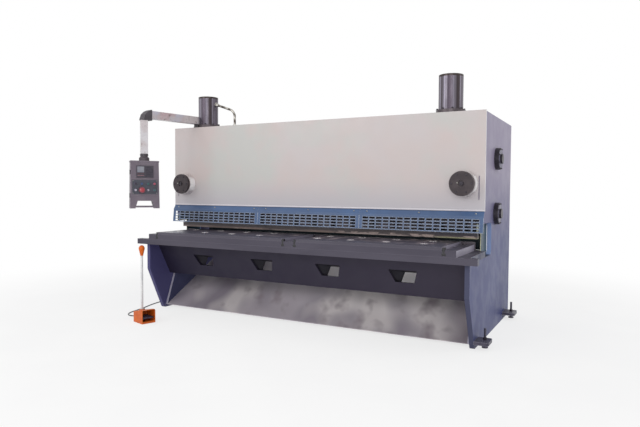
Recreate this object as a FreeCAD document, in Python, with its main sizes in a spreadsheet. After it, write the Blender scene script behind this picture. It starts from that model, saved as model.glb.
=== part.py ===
import FreeCAD, Part
import math
import operator
import os

import Sketcher

# Hydraulic guillotine shear. X runs along the blades, Y from front to back, Z up from the floor.
# Sizes in millimetres and degrees. Heights are above the floor; depths are behind the front
# panel's face unless a name says otherwise.

DIMENSIONS = [
    ("panel_y", -279.0, "front panel's face, from the middle of the machine"),
    ("panel_over", 14.0, "front panel, beyond each side plate's outer face"),
    ("panel_height", 873.0, "front panel"),
    ("panel_lift", 109.0, "bottom of the front panel, above the throat's roof"),
    ("panel_sheet", 6.0, "front panel's sheet"),
    ("panel_return", 20.0, "depth of the folded ends and top"),
    ("hem_height", 14.0, "flared hem along the panel's lower edge"),
    ("hem_proud", 7.0, "hem, in front of the panel"),
    ("slit_side", 51.0, "slit's centre, from the panel's end"),
    ("slit_width", 10.0, "slit width"),
    ("slit_length", 205.0, "slit height"),
    ("slit_lift", 102.0, "bottom of the slits, above the panel's bottom"),
    ("frame_width", 3472.0, "over the side plates' outer faces"),
    ("plate_thick", 40.0, "side plate"),
    ("plate_rear", 1342.0, "rear edge of the side plates"),
    ("plate_front", 454.0, "front edge of the side plates, in front of the panel"),
    ("foot_front", 243.0, "front of the side plates at the floor, in front of the panel"),
    ("kink_drop", 274.0, "where the front edge starts to lean back, below the shoulder"),
    ("shoulder_height", 730.0, "shoulder that carries the table"),
    ("throat_depth", 375.0, "back of the throat"),
    ("throat_height", 301.0, "throat, above the shoulder"),
    ("throat_radius", 60.0, "corner radius of the throat"),
    ("foot_radius", 30.0, "corner radius at the floor"),
    ("crown_thick", 40.0, "crown plate"),
    ("crown_rear", 330.0, "rear edge of the crown plate"),
    ("beam_thick", 40.0, "press beam's plate and flange"),
    ("beam_flange", 58.0, "press beam's flange, behind its plate"),
    ("cylinder_inset", 338.0, "main cylinders' axes, from the side plates' outer faces"),
    ("cylinder_y", 164.0, "main cylinders' axes"),
    ("cylinder_radius", 110.0, "main cylinder, outside"),
    ("cylinder_bore", 75.0, "main cylinder, inside radius"),
    ("cylinder_height", 349.0, "main cylinder above the crown plate"),
    ("cylinder_cap", 25.0, "closed end of the main cylinder"),
    ("flange_radius", 132.0, "main cylinder's flange"),
    ("flange_thick", 34.0, "main cylinder's flange"),
    ("rod_radius", 60.0, "piston rod"),
    ("rod_top", 184.0, "rod inside the cylinder, above the crown plate"),
    ("piston_thick", 45.0, "piston on the rod"),
    ("rod_gap", 8.0, "free space round the rod in the crown plate"),
    ("pipe_radius", 12.5, "hydraulic pipe"),
    ("pipe_rise", 266.0, "pipe's port above the crown plate"),
    ("pipe_reach", 262.0, "pipe, from the cylinder wall out to its drop"),
    ("pipe_slope", 19.0, "slope of the pipe's upper run"),
    ("pipe_bend", 90.0, "pipe's bend radius"),
    ("cap_inset", 178.0, "front guide caps, from the panel's ends"),
    ("cap_lift", 239.0, "front guide caps' centre, above the panel's bottom"),
    ("cap_radius", 108.0, "front guide cap"),
    ("cap_proud", 112.0, "front guide cap's face, in front of the panel"),
    ("cap_thick", 34.0, "front guide cap"),
    ("boss_radius", 116.0, "round boss under the front guide cap"),
    ("recess_radius", 30.0, "round recess in the front guide cap"),
    ("recess_depth", 12.0, "recess depth"),
    ("side_cap_radius", 103.0, "side guide cap"),
    ("side_cap_thick", 42.0, "side guide cap"),
    ("side_hub_radius", 45.0, "hub of the side guide cap"),
    ("side_hub_thick", 20.0, "hub, beyond the cap"),
    ("side_cap_y", 545.0, "side guide caps' centre"),
    ("side_cap_high", 589.0, "upper side guide cap, above the throat's roof"),
    ("side_cap_low", 74.0, "lower side guide cap, above the throat's roof"),
    ("guard_sheet", 3.0, "finger guard's sheet"),
    ("guard_bend", 45.0, "height of the guard's leaning top flange"),
    ("guard_step", 28.0, "how far the flange leans out"),
    ("guard_lean", 43.0, "how far the guard's bottom stands out"),
    ("guard_drop", 187.0, "bottom of the guard, below the panel"),
    ("guard_gap", 2.0, "joint between two guard lengths"),
    ("mesh_end", 35.0, "plain strip at each end of a guard length"),
    ("mesh_web", 11.0, "web between two guard openings, along the machine"),
    ("mesh_step", 29.0, "guard openings, upwards"),
    ("mesh_height", 20.0, "one guard opening, upwards"),
    ("mesh_lift", 10.0, "lowest guard openings, above the guard's bottom"),
    ("mesh_columns", 16.0, "openings along one guard length"),
    ("mesh_rows", 4.0, "openings upwards"),
    ("press_inset", 140.0, "end hold-down cylinders, from the hold-down bar's ends"),
    ("press_count", 15.0, "hold-down cylinders"),
    ("press_y", 87.0, "hold-down cylinders' axes"),
    ("press_radius", 30.0, "hold-down cylinder, outside"),
    ("press_length", 62.0, "hold-down cylinder below the press beam"),
    ("press_roof", 10.0, "closed end of a hold-down cylinder"),
    ("plunger_radius", 20.0, "hold-down plunger"),
    ("plunger_gap", 1.0, "free space round the plunger"),
    ("bar_over", 30.0, "hold-down bar, beyond the blades' ends"),
    ("bar_depth", 66.0, "hold-down bar, front to back"),
    ("bar_height", 50.0, "hold-down bar"),
    ("bar_lift", 28.0, "hold-down bar at rest, above the table"),
    ("table_front", 522.0, "front of the table, in front of the panel"),
    ("nosing_over", 75.0, "front strip of the table bed, beyond the side plates' outer faces"),
    ("nosing_depth", 68.0, "full-length front strip of the table bed"),
    ("bed_thick", 55.0, "table bed"),
    ("blade_over", 6.0, "blades, beyond the ends of the table top plate"),
    ("top_thick", 56.0, "table top plate"),
    ("pad_thick", 24.0, "raised table plates"),
    ("pad_left", 128.0, "left raised plate, from the table top plate's left end"),
    ("pad_break", 94.0, "middle of the channel between the raised plates"),
    ("pad_channel", 156.0, "channel between the raised plates"),
    ("pad_right", 117.0, "right raised plate, from the table top plate's right end"),
    ("slot_neck", 22.0, "T-slot at the top"),
    ("slot_wide", 38.0, "T-slot below"),
    ("slot_lip", 26.0, "plate above the T-slot's wide part"),
    ("slot_floor", 10.0, "plate below the T-slot"),
    ("slot_inset", 4.0, "T-slot's edge, from the raised plate's end"),
    ("ball_count", 4.0, "ball transfers in a row"),
    ("ball_end", 214.0, "last ball transfer, from the right raised plate's end"),
    ("ball_back", 35.0, "back row of ball transfers, in front of the panel"),
    ("ball_front", 300.0, "front row of ball transfers, in front of the panel"),
    ("ball_inset", 106.0, "first ball transfer, from the raised plate's end"),
    ("ball_cup", 22.0, "ball transfer's cup"),
    ("ball_radius", 15.0, "ball"),
    ("ball_seat", 1.0, "ball transfer's cup, below the raised plate's top"),
    ("ball_proud", 5.0, "ball, above the table"),
    ("blade_end", 46.0, "free space between the blades' ends and the side plates"),
    ("blade_thick", 25.0, "both blades"),
    ("blade_height", 85.0, "upper blade"),
    ("cut_y", 130.0, "cutting plane"),
    ("cut_gap", 1.0, "clearance between the blades"),
    ("blade_overhang", 6.0, "lower blade, behind the table bed"),
    ("blade_open", 25.0, "upper blade's low end at rest, above the lower blade"),
    ("rake_angle", 1.5, "upper blade's rake"),
    ("ram_over", 20.0, "ram, beyond the blades' ends"),
    ("blade_sunk", 2.0, "lower blade's edge, below the raised plates"),
    ("ram_thick", 50.0, "ram plate"),
    ("ram_cover", 60.0, "ram plate, behind the upper blade's face"),
    ("ram_drop", 213.0, "top of the ram at rest, below the crown plate's top"),
    ("ram_flange", 136.0, "ram's top flange, front to back"),
    ("ram_rib", 90.0, "ram's rear ribs, front to back"),
    ("rib_thick", 25.0, "ram's rear ribs"),
    ("rib_count", 7.0, "ram's upright ribs"),
    ("apron_top", 340.0, "table beam's top edge, in front of the panel"),
    ("apron_bottom", 150.0, "table beam's bottom edge, in front of the panel"),
    ("apron_drop", 352.0, "table beam's bottom edge, below the shoulder"),
    ("apron_thick", 30.0, "table beam"),
    ("window_end", 583.0, "middle of the end windows, from the side plates' inner faces"),
    ("window_count", 4.0, "windows of the table beam"),
    ("window_wide", 262.0, "window, at its top"),
    ("window_narrow", 176.0, "window, at its bottom"),
    ("window_drop", 110.0, "top of the windows, below the shoulder"),
    ("window_height", 117.0, "windows"),
    ("chute_front", 220.0, "chute's low edge, in front of the panel"),
    ("chute_low", 30.0, "chute's low edge"),
    ("chute_rear", 650.0, "chute's high edge"),
    ("chute_angle", 28.0, "slope of the chute"),
    ("chute_sheet", 6.0, "chute's sheet"),
    ("gusset_thick", 25.0, "gusset inside each side plate"),
    ("gusset_rear", 260.0, "rear edge of the gussets"),
    ("web_thick", 30.0, "web under the rear of the table bed"),
    ("web_height", 120.0, "web under the rear of the table bed"),
    ("tie_low", 160.0, "bottom of the rear tie beam"),
    ("tie_height", 300.0, "rear tie beam"),
    ("tie_flange", 110.0, "flanges of the rear tie beam"),
    ("tie_thick", 16.0, "rear tie beam's plate"),
    ("tank_depth", 330.0, "oil tank, front to back"),
    ("tank_height", 420.0, "oil tank"),
    ("tank_drop", 613.0, "bottom of the oil tank, below the panel's top"),
    ("tank_inset", 70.0, "oil tank, from the side plates' rear edge"),
    ("lid_thick", 12.0, "oil tank's lid"),
    ("motor_radius", 92.0, "pump motor"),
    ("motor_length", 320.0, "pump motor"),
    ("motor_foot", 240.0, "pump motor's foot"),
    ("pump_radius", 46.0, "pump"),
    ("pump_length", 160.0, "pump"),
    ("valve_gap", 128.0, "valve block, from the motor"),
    ("valve_length", 160.0, "valve block"),
    ("gauge_inset", 546.0, "back gauge's arms, from the side plates' inner faces"),
    ("gauge_arm", 640.0, "back gauge's arms, behind the table bed"),
    ("gauge_width", 70.0, "back gauge's arm"),
    ("gauge_bar", 173.0, "back gauge's stop bar, height"),
    ("gauge_stop", 480.0, "back gauge's stop face"),
    ("gauge_over", 500.0, "back gauge's stop bar, beyond its arms"),
    ("jack_out", 120.0, "levelling foot, out from the side plate"),
    ("jack_length", 180.0, "levelling foot, front to back"),
    ("jack_thick", 28.0, "levelling foot's plate"),
    ("jack_top", 75.0, "top of the levelling foot's plate"),
    ("jack_corner", 26.0, "corner radius of the levelling foot's plate"),
    ("jack_radius", 10.0, "levelling screw"),
    ("shoe_radius", 26.0, "levelling foot's shoe"),
    ("shoe_height", 13.0, "levelling foot's shoe"),
    ("jack_height", 165.0, "top of the levelling screw"),
    ("jack_right", 192.0, "right side's front foot, in front of the panel"),
    ("jack_left", -40.0, "left side's front foot, in front of the panel"),
    ("jack_rear", 1090.0, "rear feet's centre"),
    ("anchor_radius", 13.0, "anchor bolt hole"),
    ("anchor_step", 45.0, "anchor hole and levelling screw, from the foot's centre"),
    ("anchor_out", 66.0, "anchor hole, out from the side plate"),
    ("pivot_inset", 285.0, "pendant arm's pivot, from the panel's left end"),
    ("pivot_y", 24.0, "pendant arm's pivot"),
    ("arm_lift", 79.0, "pendant arm's centre line, above the front panel"),
    ("arm_reach", 663.0, "pendant arm, pivot to drop tube"),
    ("arm_angle", 11.75, "pendant arm, off the straight forward line"),
    ("arm_tube", 80.0, "pendant arm's square tube"),
    ("post_pivot", 18.0, "pendant's pivot post"),
    ("post_foot", 22.0, "foot of the pivot post"),
    ("foot_thick", 12.0, "foot of the pivot post, height"),
    ("elbow_inner", 72.0, "elbow, from the drop tube's axis towards the pivot"),
    ("elbow_outer", 26.0, "elbow, from the drop tube's axis outwards"),
    ("elbow_top", 50.0, "elbow's top, above the arm's centre line"),
    ("elbow_bottom", 62.0, "elbow's bottom, below the arm's centre line"),
    ("elbow_wall", 3.0, "elbow, round the arm's tube"),
    ("spigot_radius", 20.0, "drop tube's spigot in the elbow"),
    ("spigot_length", 30.0, "drop tube's spigot in the elbow"),
    ("drop_length", 346.0, "drop tube"),
    ("drop_tube", 72.0, "drop tube's square section"),
    ("neck_radius", 52.0, "coupling between the drop tube and the control box"),
    ("neck_top", 38.0, "coupling's upper radius"),
    ("neck_rim", 30.0, "coupling's cylindrical lower part"),
    ("neck_height", 74.0, "coupling"),
    ("seat_gap", 0.3, "clearance at turning and sliding seats"),
    ("box_width", 292.0, "control box, at its feet"),
    ("box_narrow", 278.0, "control box, under its top plate"),
    ("box_depth", 120.0, "control box"),
    ("box_height", 492.0, "control box"),
    ("box_lip", 4.0, "control box's top plate, beyond its sides"),
    ("lip_thick", 16.0, "control box's top plate"),
    ("box_angle", 52.0, "control box, turned about its tube"),
    ("handle_low", 26.0, "handle's opening, above the box's feet"),
    ("handle_high", 52.0, "handle's opening, height"),
    ("handle_top", 144.0, "handle's opening, at its top"),
    ("handle_wide", 176.0, "handle's opening, at its bottom"),
    ("handle_rise", 10.0, "handle's bar, above the box's feet"),
    ("feet_gap", 188.0, "between the box's feet"),
    ("screen_width", 170.0, "screen and keypad"),
    ("screen_height", 125.0, "screen and keypad"),
    ("screen_proud", 6.0, "screen, in front of the box's face"),
    ("plate_proud", 4.0, "keypad and button plate, in front of the box's face"),
    ("screen_drop", 50.0, "screen, below the box's top"),
    ("keys_width", 250.0, "button plate"),
    ("keys_height", 145.0, "button plate"),
    ("keys_drop", 198.0, "button plate, below the box's top"),
    ("button_radius", 11.0, "push button"),
    ("button_proud", 16.0, "push button, in front of the box's face"),
    ("button_pitch", 62.0, "push buttons, across the plate"),
    ("button_rows", 64.0, "between the two rows of push buttons"),
    ("stop_radius", 30.0, "stop button"),
    ("stop_proud", 34.0, "stop button, in front of the box's face"),
    ("pedal_x", -1370.0, "foot switch, from the middle"),
    ("pedal_y", -868.0, "foot switch, from the panel's face"),
    ("pedal_angle", -17.0, "foot switch, turned"),
    ("pedal_length", 200.0, "foot switch"),
    ("pedal_width", 141.0, "foot switch"),
    ("pedal_height", 136.0, "foot switch at its open end"),
    ("pedal_low", 100.0, "foot switch at its rear end"),
    ("pedal_wall", 6.0, "foot switch's wall"),
    ("pedal_round", 30.0, "foot switch's rear corners"),
    ("pedal_edge", 20.0, "foot switch's upper edges"),
    ("pedal_floor", 18.0, "foot switch's floor"),
    ("pedal_rear", 36.0, "foot switch's solid rear end"),
    ("pin_radius", 5.0, "treadle's pin"),
    ("pin_back", 44.0, "treadle's pin, behind the foot switch's middle"),
    ("pin_height", 51.0, "treadle's pin, above the floor"),
    ("hub_radius", 10.0, "treadle's hub"),
    ("treadle_length", 130.0, "treadle, from its pin"),
    ("treadle_thick", 12.0, "treadle"),
    ("treadle_side", 6.0, "free space beside the treadle"),
    ("post_radius", 11.5, "foot switch's carrying post"),
    ("post_length", 534.0, "foot switch's carrying post"),
    ("post_back", 36.0, "carrying post, behind the foot switch's middle"),
    ("post_seat", 122.0, "seat of the carrying post, above the floor"),
    ("seat_radius", 27.0, "seat of the carrying post"),
    ("collar_radius", 23.0, "collar at the post's foot"),
    ("collar_height", 8.0, "collar at the post's foot"),
    ("knob_radius", 29.0, "knob on the post"),
    ("knob_height", 104.0, "knob on the post"),
    ("knob_crown", 34.0, "knob's top, above its widest ring"),
    ("cable_radius", 5.5, "foot switch's cable"),
    ("gland_radius", 14.0, "cable gland"),
    ("gland_nut", 18.0, "cable gland's nut"),
    ("dome_radius", 10.0, "cable gland's dome"),
]

document = FreeCAD.newDocument("GuillotineShear")


class Size:
    """A number that keeps its spreadsheet formula, so that a property can be bound to it."""

    def __init__(self, number, formula):
        self.number = float(number)
        self.formula = formula

    def __add__(self, other):
        return joined(self, "+", other)

    def __radd__(self, other):
        return joined(other, "+", self)

    def __sub__(self, other):
        return joined(self, "-", other)

    def __rsub__(self, other):
        return joined(other, "-", self)

    def __mul__(self, other):
        return joined(self, "*", other)

    def __rmul__(self, other):
        return joined(other, "*", self)

    def __truediv__(self, other):
        return joined(self, "/", other)

    def __neg__(self):
        return joined(0, "-", self)


SIGNS = {"+": operator.add, "-": operator.sub, "*": operator.mul, "/": operator.truediv}


def sized(value):
    """Any number as a Size."""
    if isinstance(value, Size):
        return value
    return Size(value, f"({float(value)})")


def joined(left, sign, right):
    """Two sizes under one sign of arithmetic."""
    left, right = sized(left), sized(right)
    return Size(SIGNS[sign](left.number, right.number), f"({left.formula} {sign} {right.formula})")


def tangent(angle):
    return Size(math.tan(math.radians(angle.number)), f"tan({angle.formula} * 1 deg)")


def sine(angle):
    return Size(math.sin(math.radians(angle.number)), f"sin({angle.formula} * 1 deg)")


def cosine(angle):
    return Size(math.cos(math.radians(angle.number)), f"cos({angle.formula} * 1 deg)")


def make_sheet():
    """The driving dimensions in a spreadsheet; returns each as a Size under its own name."""
    sheet = document.addObject("Spreadsheet::Sheet", "Dims")
    named = {}
    for row, (alias, number, note) in enumerate(DIMENSIONS, 1):
        sheet.set(f"A{row}", note)
        sheet.set(f"B{row}", str(number))
        sheet.setAlias(f"B{row}", alias)
        named[alias] = Size(number, f"Dims.{alias}")
    document.recompute()
    return named


D = make_sheet()

# Sizes that several pieces share.

HALF_FRAME = D["frame_width"] / 2
INNER = HALF_FRAME - D["plate_thick"]
PANEL_HALF = HALF_FRAME + D["panel_over"]
FACE = D["panel_return"]
THROAT_TOP = D["shoulder_height"] + D["throat_height"]
PANEL_LOW = THROAT_TOP + D["panel_lift"]
CROWN_TOP = PANEL_LOW + D["panel_height"]
CAP_HEIGHT = PANEL_LOW + D["cap_lift"]
GUARD_LOW = PANEL_LOW - D["guard_drop"]
APRON_LOW = D["shoulder_height"] - D["apron_drop"]
WINDOW_TOP = D["shoulder_height"] - D["window_drop"]
WINDOW_LOW = WINDOW_TOP - D["window_height"]
TANK_LOW = CROWN_TOP - D["tank_drop"]
BEAM_REAR = FACE + D["beam_thick"]
CYLINDER_X = HALF_FRAME - D["cylinder_inset"]
CAP_X = PANEL_HALF - D["cap_inset"]
BLADE_HALF = INNER - D["blade_end"]
TOP_HALF = BLADE_HALF - D["blade_over"]
BAR_HALF = BLADE_HALF + D["bar_over"]
RAM_HALF = BLADE_HALF + D["ram_over"]
PRESS_RUN = 2 * (BAR_HALF - D["press_inset"])
BED_TOP = D["shoulder_height"] + D["bed_thick"]
TOP_TOP = BED_TOP + D["top_thick"]
TABLE_TOP = TOP_TOP + D["pad_thick"]
BLADE_FRONT = D["cut_y"] - D["blade_thick"]
BED_REAR = D["cut_y"] - D["blade_overhang"]
UPPER_FRONT = D["cut_y"] + D["cut_gap"]
RAM_FRONT = UPPER_FRONT + D["blade_thick"]
EDGE_LOW = TABLE_TOP + D["blade_open"]
RAM_TOP = CROWN_TOP - D["ram_drop"]
RAKE = tangent(D["rake_angle"])
BAR_LOW = TABLE_TOP + D["bar_lift"]
PIVOT_X = D["pivot_inset"] - PANEL_HALF
ARM_HEIGHT = CROWN_TOP + D["arm_lift"]
ELBOW_LOW = ARM_HEIGHT - D["elbow_bottom"]
DROP_TOP = ELBOW_LOW - D["seat_gap"]
BOX_LOW = DROP_TOP - D["drop_length"] - D["neck_height"] - D["box_height"]
POST_TOP = D["post_seat"] + D["post_length"]

NODES = []


def bind(item, name, size):
    """Binds one property to a size's spreadsheet formula."""
    item.setExpression(name, sized(size).formula)


def place(item, x=0, y=0, z=0):
    """Sets a finished piece in the machine; y counts from the front panel's face."""
    bind(item, "Placement.Base.x", x)
    bind(item, "Placement.Base.y", D["panel_y"] + y)
    bind(item, "Placement.Base.z", z)


def node(item, label):
    """Marks a piece as one node of the part."""
    item.Label = label
    NODES.append(item)
    return item


# Sketches and features of one body.


def new_body(name):
    return document.addObject("PartDesign::Body", name)


def new_sketch(body, plane, name, lift=0):
    """An empty sketch on one of the body's own origin planes, lifted along its normal."""
    drawing = body.newObject("Sketcher::SketchObject", name)
    support = next(item for item in body.Origin.OriginFeatures if item.Role == plane)
    drawing.AttachmentSupport = [(support, "")]
    drawing.MapMode = "FlatFace"
    bind(drawing, "AttachmentOffset.Base.z", lift)
    return drawing


def hold(drawing, kind, geometry, corner, size):
    """A driving constraint bound to a size."""
    size = sized(size)
    number = drawing.addConstraint(Sketcher.Constraint(kind, geometry, corner, size.number))
    drawing.setExpression(f"Constraints[{number}]", size.formula)


def polygon(drawing, corners):
    """A closed outline; each corner is held at its two sizes."""
    first = drawing.GeometryCount
    spots = [FreeCAD.Vector(sized(x).number, sized(y).number, 0) for x, y in corners]
    lines = [Part.LineSegment(a, b) for a, b in zip(spots, spots[1:] + spots[:1])]
    drawing.addGeometry(lines, False)
    count = len(corners)
    for n, (x, y) in enumerate(corners):
        before = first + (n - 1) % count
        drawing.addConstraint(Sketcher.Constraint("Coincident", first + n, 1, before, 2))
        hold(drawing, "DistanceX", first + n, 1, x)
        hold(drawing, "DistanceY", first + n, 1, y)


def circle(drawing, x, y, radius):
    """A circle held at its centre and radius."""
    number = drawing.GeometryCount
    centre = FreeCAD.Vector(sized(x).number, sized(y).number, 0)
    drawing.addGeometry(Part.Circle(centre, FreeCAD.Vector(0, 0, 1), sized(radius).number), False)
    hold(drawing, "DistanceX", number, 3, x)
    hold(drawing, "DistanceY", number, 3, y)
    limit = drawing.addConstraint(Sketcher.Constraint("Radius", number, sized(radius).number))
    drawing.setExpression(f"Constraints[{limit}]", sized(radius).formula)


def rectangle(x_low, x_high, y_low, y_high):
    return [(x_low, y_low), (x_high, y_low), (x_high, y_high), (x_low, y_high)]


def pad(body, drawing, length, back=False):
    """Raises a sketch; back turns the direction round."""
    feature = body.newObject("PartDesign::Pad", "Pad")
    feature.Profile = drawing
    feature.Reversed = back
    bind(feature, "Length", length)
    drawing.Visibility = False
    return feature


def pocket(body, drawing, length=None, back=False):
    """Cuts a sketch into the body, right through where no length is given."""
    feature = body.newObject("PartDesign::Pocket", "Pocket")
    feature.Profile = drawing
    feature.Reversed = back
    if length is None:
        feature.Type = "ThroughAll"
    else:
        bind(feature, "Length", length)
    drawing.Visibility = False
    return feature


def revolve(body, drawing, axis="V_Axis"):
    feature = body.newObject("PartDesign::Revolution", "Revolution")
    feature.Profile = drawing
    feature.ReferenceAxis = (drawing, [axis])
    feature.Angle = 360.0
    drawing.Visibility = False
    return feature


def pattern(body, feature, drawing, axis, length, count):
    """Repeats a feature in a row along one axis of its sketch."""
    row = body.newObject("PartDesign::LinearPattern", "Row")
    row.Originals = [feature]
    row.Direction = (drawing, [axis])
    bind(row, "Length", length)
    bind(row, "Occurrences", count)
    body.Tip = row
    return row


ACROSS = {"XY_Plane": "xy", "XZ_Plane": "xz", "YZ_Plane": "yz"}


def edges_over(feature, plane, corners):
    """Names of the straight edges that stand over corners of a sketch on that plane."""
    first, second = ACROSS[plane]
    spots = [(sized(x).number, sized(y).number) for x, y in corners]
    found = []
    for number, edge in enumerate(feature.Shape.Edges, 1):
        ends = [(getattr(vertex.Point, first), getattr(vertex.Point, second)) for vertex in edge.Vertexes]
        if len(ends) == 2 and any(max(math.dist(end, spot) for end in ends) < 0.01 for spot in spots):
            found.append(f"Edge{number}")
    return found


def round_edges(body, feature, plane, corners, radius, kind="Fillet"):
    """Rounds or bevels the edges over some corners of the outline."""
    document.recompute()
    soft = body.newObject(f"PartDesign::{kind}", kind)
    soft.Base = (feature, edges_over(feature, plane, corners))
    bind(soft, "Radius" if kind == "Fillet" else "Size", radius)
    document.recompute()
    return soft


def prism(label, plane, corners, length, x=0, y=0, z=0):
    """A body with one outline raised from an origin plane, along +X, +Y or +Z."""
    body = new_body(label)
    drawing = new_sketch(body, plane, "Outline")
    polygon(drawing, corners)
    feature = pad(body, drawing, length, back=plane == "XZ_Plane")
    place(body, x, y, z)
    node(body, label)
    return body, feature


# Solids joined by booleans.


def block(x, y, z, length, width, height):
    """A box from its low corner."""
    item = document.addObject("Part::Box", "Block")
    for name, size in (("Length", length), ("Width", width), ("Height", height)):
        bind(item, name, size)
    for name, size in (("x", x), ("y", y), ("z", z)):
        bind(item, f"Placement.Base.{name}", size)
    return item


TURNS = {
    "+Z": FreeCAD.Rotation(),
    "+X": FreeCAD.Rotation(FreeCAD.Vector(0, 1, 0), 90),
    "-X": FreeCAD.Rotation(FreeCAD.Vector(0, 1, 0), -90),
    "+Y": FreeCAD.Rotation(FreeCAD.Vector(1, 0, 0), -90),
    "-Y": FreeCAD.Rotation(FreeCAD.Vector(1, 0, 0), 90),
}


def rod(x, y, z, radius, length, way="+Z"):
    """A cylinder from the centre of its first end."""
    item = document.addObject("Part::Cylinder", "Rod")
    bind(item, "Radius", radius)
    bind(item, "Height", length)
    item.Placement = FreeCAD.Placement(FreeCAD.Vector(), TURNS[way])
    for name, size in (("x", x), ("y", y), ("z", z)):
        bind(item, f"Placement.Base.{name}", size)
    return item


def fuse(items):
    joint = document.addObject("Part::MultiFuse", "Fusion")
    joint.Shapes = items
    joint.Refine = True
    return joint


def common(items):
    shared = document.addObject("Part::MultiCommon", "Common")
    shared.Shapes = items
    return shared


def cut(base, tools):
    result = document.addObject("Part::Cut", "Cut")
    result.Base = base
    result.Tool = tools[0] if len(tools) == 1 else fuse(tools)
    return result


# Frame


def side_plate(label, x):
    """C-shaped plate: foot, shoulder under the table, throat and the tall rear part."""
    throat = [(D["throat_depth"], D["shoulder_height"]), (D["throat_depth"], THROAT_TOP)]
    foot = (-D["foot_front"], 0)
    corners = [
        foot,
        (-D["plate_front"], D["shoulder_height"] - D["kink_drop"]),
        (-D["plate_front"], D["shoulder_height"]),
        *throat,
        (FACE, THROAT_TOP),
        (FACE, CROWN_TOP),
        (D["plate_rear"], CROWN_TOP),
        (D["plate_rear"], 0),
    ]
    body, feature = prism(label, "YZ_Plane", corners, D["plate_thick"], x)
    soft = round_edges(body, feature, "YZ_Plane", throat, D["throat_radius"])
    round_edges(body, soft, "YZ_Plane", [foot], D["foot_radius"])


def front_panel():
    """Sheet with folded ends and top, a flared hem, two round guide bosses and two upright slits."""
    sheet = D["panel_sheet"]
    height = CROWN_TOP - PANEL_LOW
    shell = block(-PANEL_HALF, 0, PANEL_LOW, 2 * PANEL_HALF, D["panel_return"], height)
    wide = 2 * (PANEL_HALF - sheet)
    inside = block(sheet - PANEL_HALF, sheet, PANEL_LOW - sheet, wide, D["panel_return"], height)
    slits = []
    for x in (D["slit_side"] - PANEL_HALF, PANEL_HALF - D["slit_side"]):
        side = x - D["slit_width"] / 2
        slits.append(block(side, -sheet, PANEL_LOW + D["slit_lift"], D["slit_width"], 3 * sheet, D["slit_length"]))
    depth = D["cap_proud"] - D["cap_thick"]
    bosses = [rod(sign * CAP_X, 0, CAP_HEIGHT, D["boss_radius"], depth, "-Y") for sign in (-1, 1)]
    hem = panel_hem()
    panel = node(fuse([cut(shell, [inside, *slits]), *bosses, hem]), "front_panel")
    place(panel)


def panel_hem():
    """The panel's lower edge, bent outwards."""
    proud = D["hem_proud"]
    body = new_body("Hem")
    section = new_sketch(body, "YZ_Plane", "Section", -PANEL_HALF)
    low = PANEL_LOW
    polygon(section, [(0, low), (0, low + D["hem_height"]), (-proud, low + proud / 2), (-proud, low)])
    pad(body, section, 2 * PANEL_HALF)
    return body


def press_beam():
    """Upright plate behind the panel with a flange that carries the hold-down cylinders."""
    low = THROAT_TOP
    corners = [
        (FACE, low),
        (BEAM_REAR + D["beam_flange"], low),
        (BEAM_REAR + D["beam_flange"], low + D["beam_thick"]),
        (BEAM_REAR, low + D["beam_thick"]),
        (BEAM_REAR, CROWN_TOP),
        (FACE, CROWN_TOP),
    ]
    prism("press_beam", "YZ_Plane", corners, 2 * INNER, -INNER)


def crown_plate():
    """Top plate between the side plates, bored for the piston rods."""
    low = CROWN_TOP - D["crown_thick"]
    slab = block(-INNER, BEAM_REAR, low, 2 * INNER, D["crown_rear"] - BEAM_REAR, D["crown_thick"])
    radius = D["rod_radius"] + D["rod_gap"]
    deep = 3 * D["crown_thick"]
    floor = low - D["crown_thick"]
    bores = [rod(sign * CYLINDER_X, D["cylinder_y"], floor, radius, deep) for sign in (-1, 1)]
    place(node(cut(slab, bores), "crown_plate"))


def rear_tie_beam():
    """Channel that ties the side plates low at the back."""
    back = D["plate_rear"] - D["tank_inset"]
    front = back - D["tie_flange"]
    low = D["tie_low"]
    high = low + D["tie_height"]
    thick = D["tie_thick"]
    corners = [
        (front, low),
        (back, low),
        (back, high),
        (front, high),
        (front, high - thick),
        (back - thick, high - thick),
        (back - thick, low + thick),
        (front, low + thick),
    ]
    prism("rear_tie_beam", "YZ_Plane", corners, 2 * INNER, -INNER)


def gussets():
    """Plates inside the side plates that stiffen the foot and hold the chute's ends."""
    front_low = -D["chute_front"]
    corners = [
        (front_low, D["chute_low"]),
        (D["gusset_rear"], D["chute_low"]),
        (D["gusset_rear"], APRON_LOW),
        (-D["apron_bottom"] + D["apron_thick"] * 2, APRON_LOW),
    ]
    body = new_body("gussets")
    for lift in (-INNER, INNER - D["gusset_thick"]):
        drawing = new_sketch(body, "YZ_Plane", "Outline", lift)
        polygon(drawing, corners)
        pad(body, drawing, D["gusset_thick"])
    place(node(body, "gussets"))


def table_beam():
    """Leaning plate under the table with four windows, and the web at the rear of the bed."""
    corners = [
        (-D["apron_top"], D["shoulder_height"]),
        (-D["apron_bottom"], APRON_LOW),
        (-D["apron_bottom"] + D["apron_thick"], APRON_LOW),
        (-D["apron_top"] + D["apron_thick"], D["shoulder_height"]),
    ]
    body, leaning = prism("table_beam", "YZ_Plane", corners, 2 * INNER, -INNER)
    web = new_sketch(body, "YZ_Plane", "Web")
    low = D["shoulder_height"] - D["web_height"]
    polygon(web, rectangle(BED_REAR - D["web_thick"], BED_REAR, low, D["shoulder_height"]))
    pad(body, web, 2 * INNER)
    count = int(D["window_count"].number)
    step = 2 * (INNER - D["window_end"]) / (D["window_count"] - 1)
    for n in range(count):
        window = new_sketch(body, "XZ_Plane", "Window")
        middle = D["window_end"] + n * step
        wide = D["window_wide"] / 2
        narrow = D["window_narrow"] / 2
        outline = [
            (middle - wide, WINDOW_TOP),
            (middle - narrow, WINDOW_LOW),
            (middle + narrow, WINDOW_LOW),
            (middle + wide, WINDOW_TOP),
        ]
        polygon(window, outline)
        pocket(body, window, D["apron_top"] + D["apron_thick"], back=True)


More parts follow.
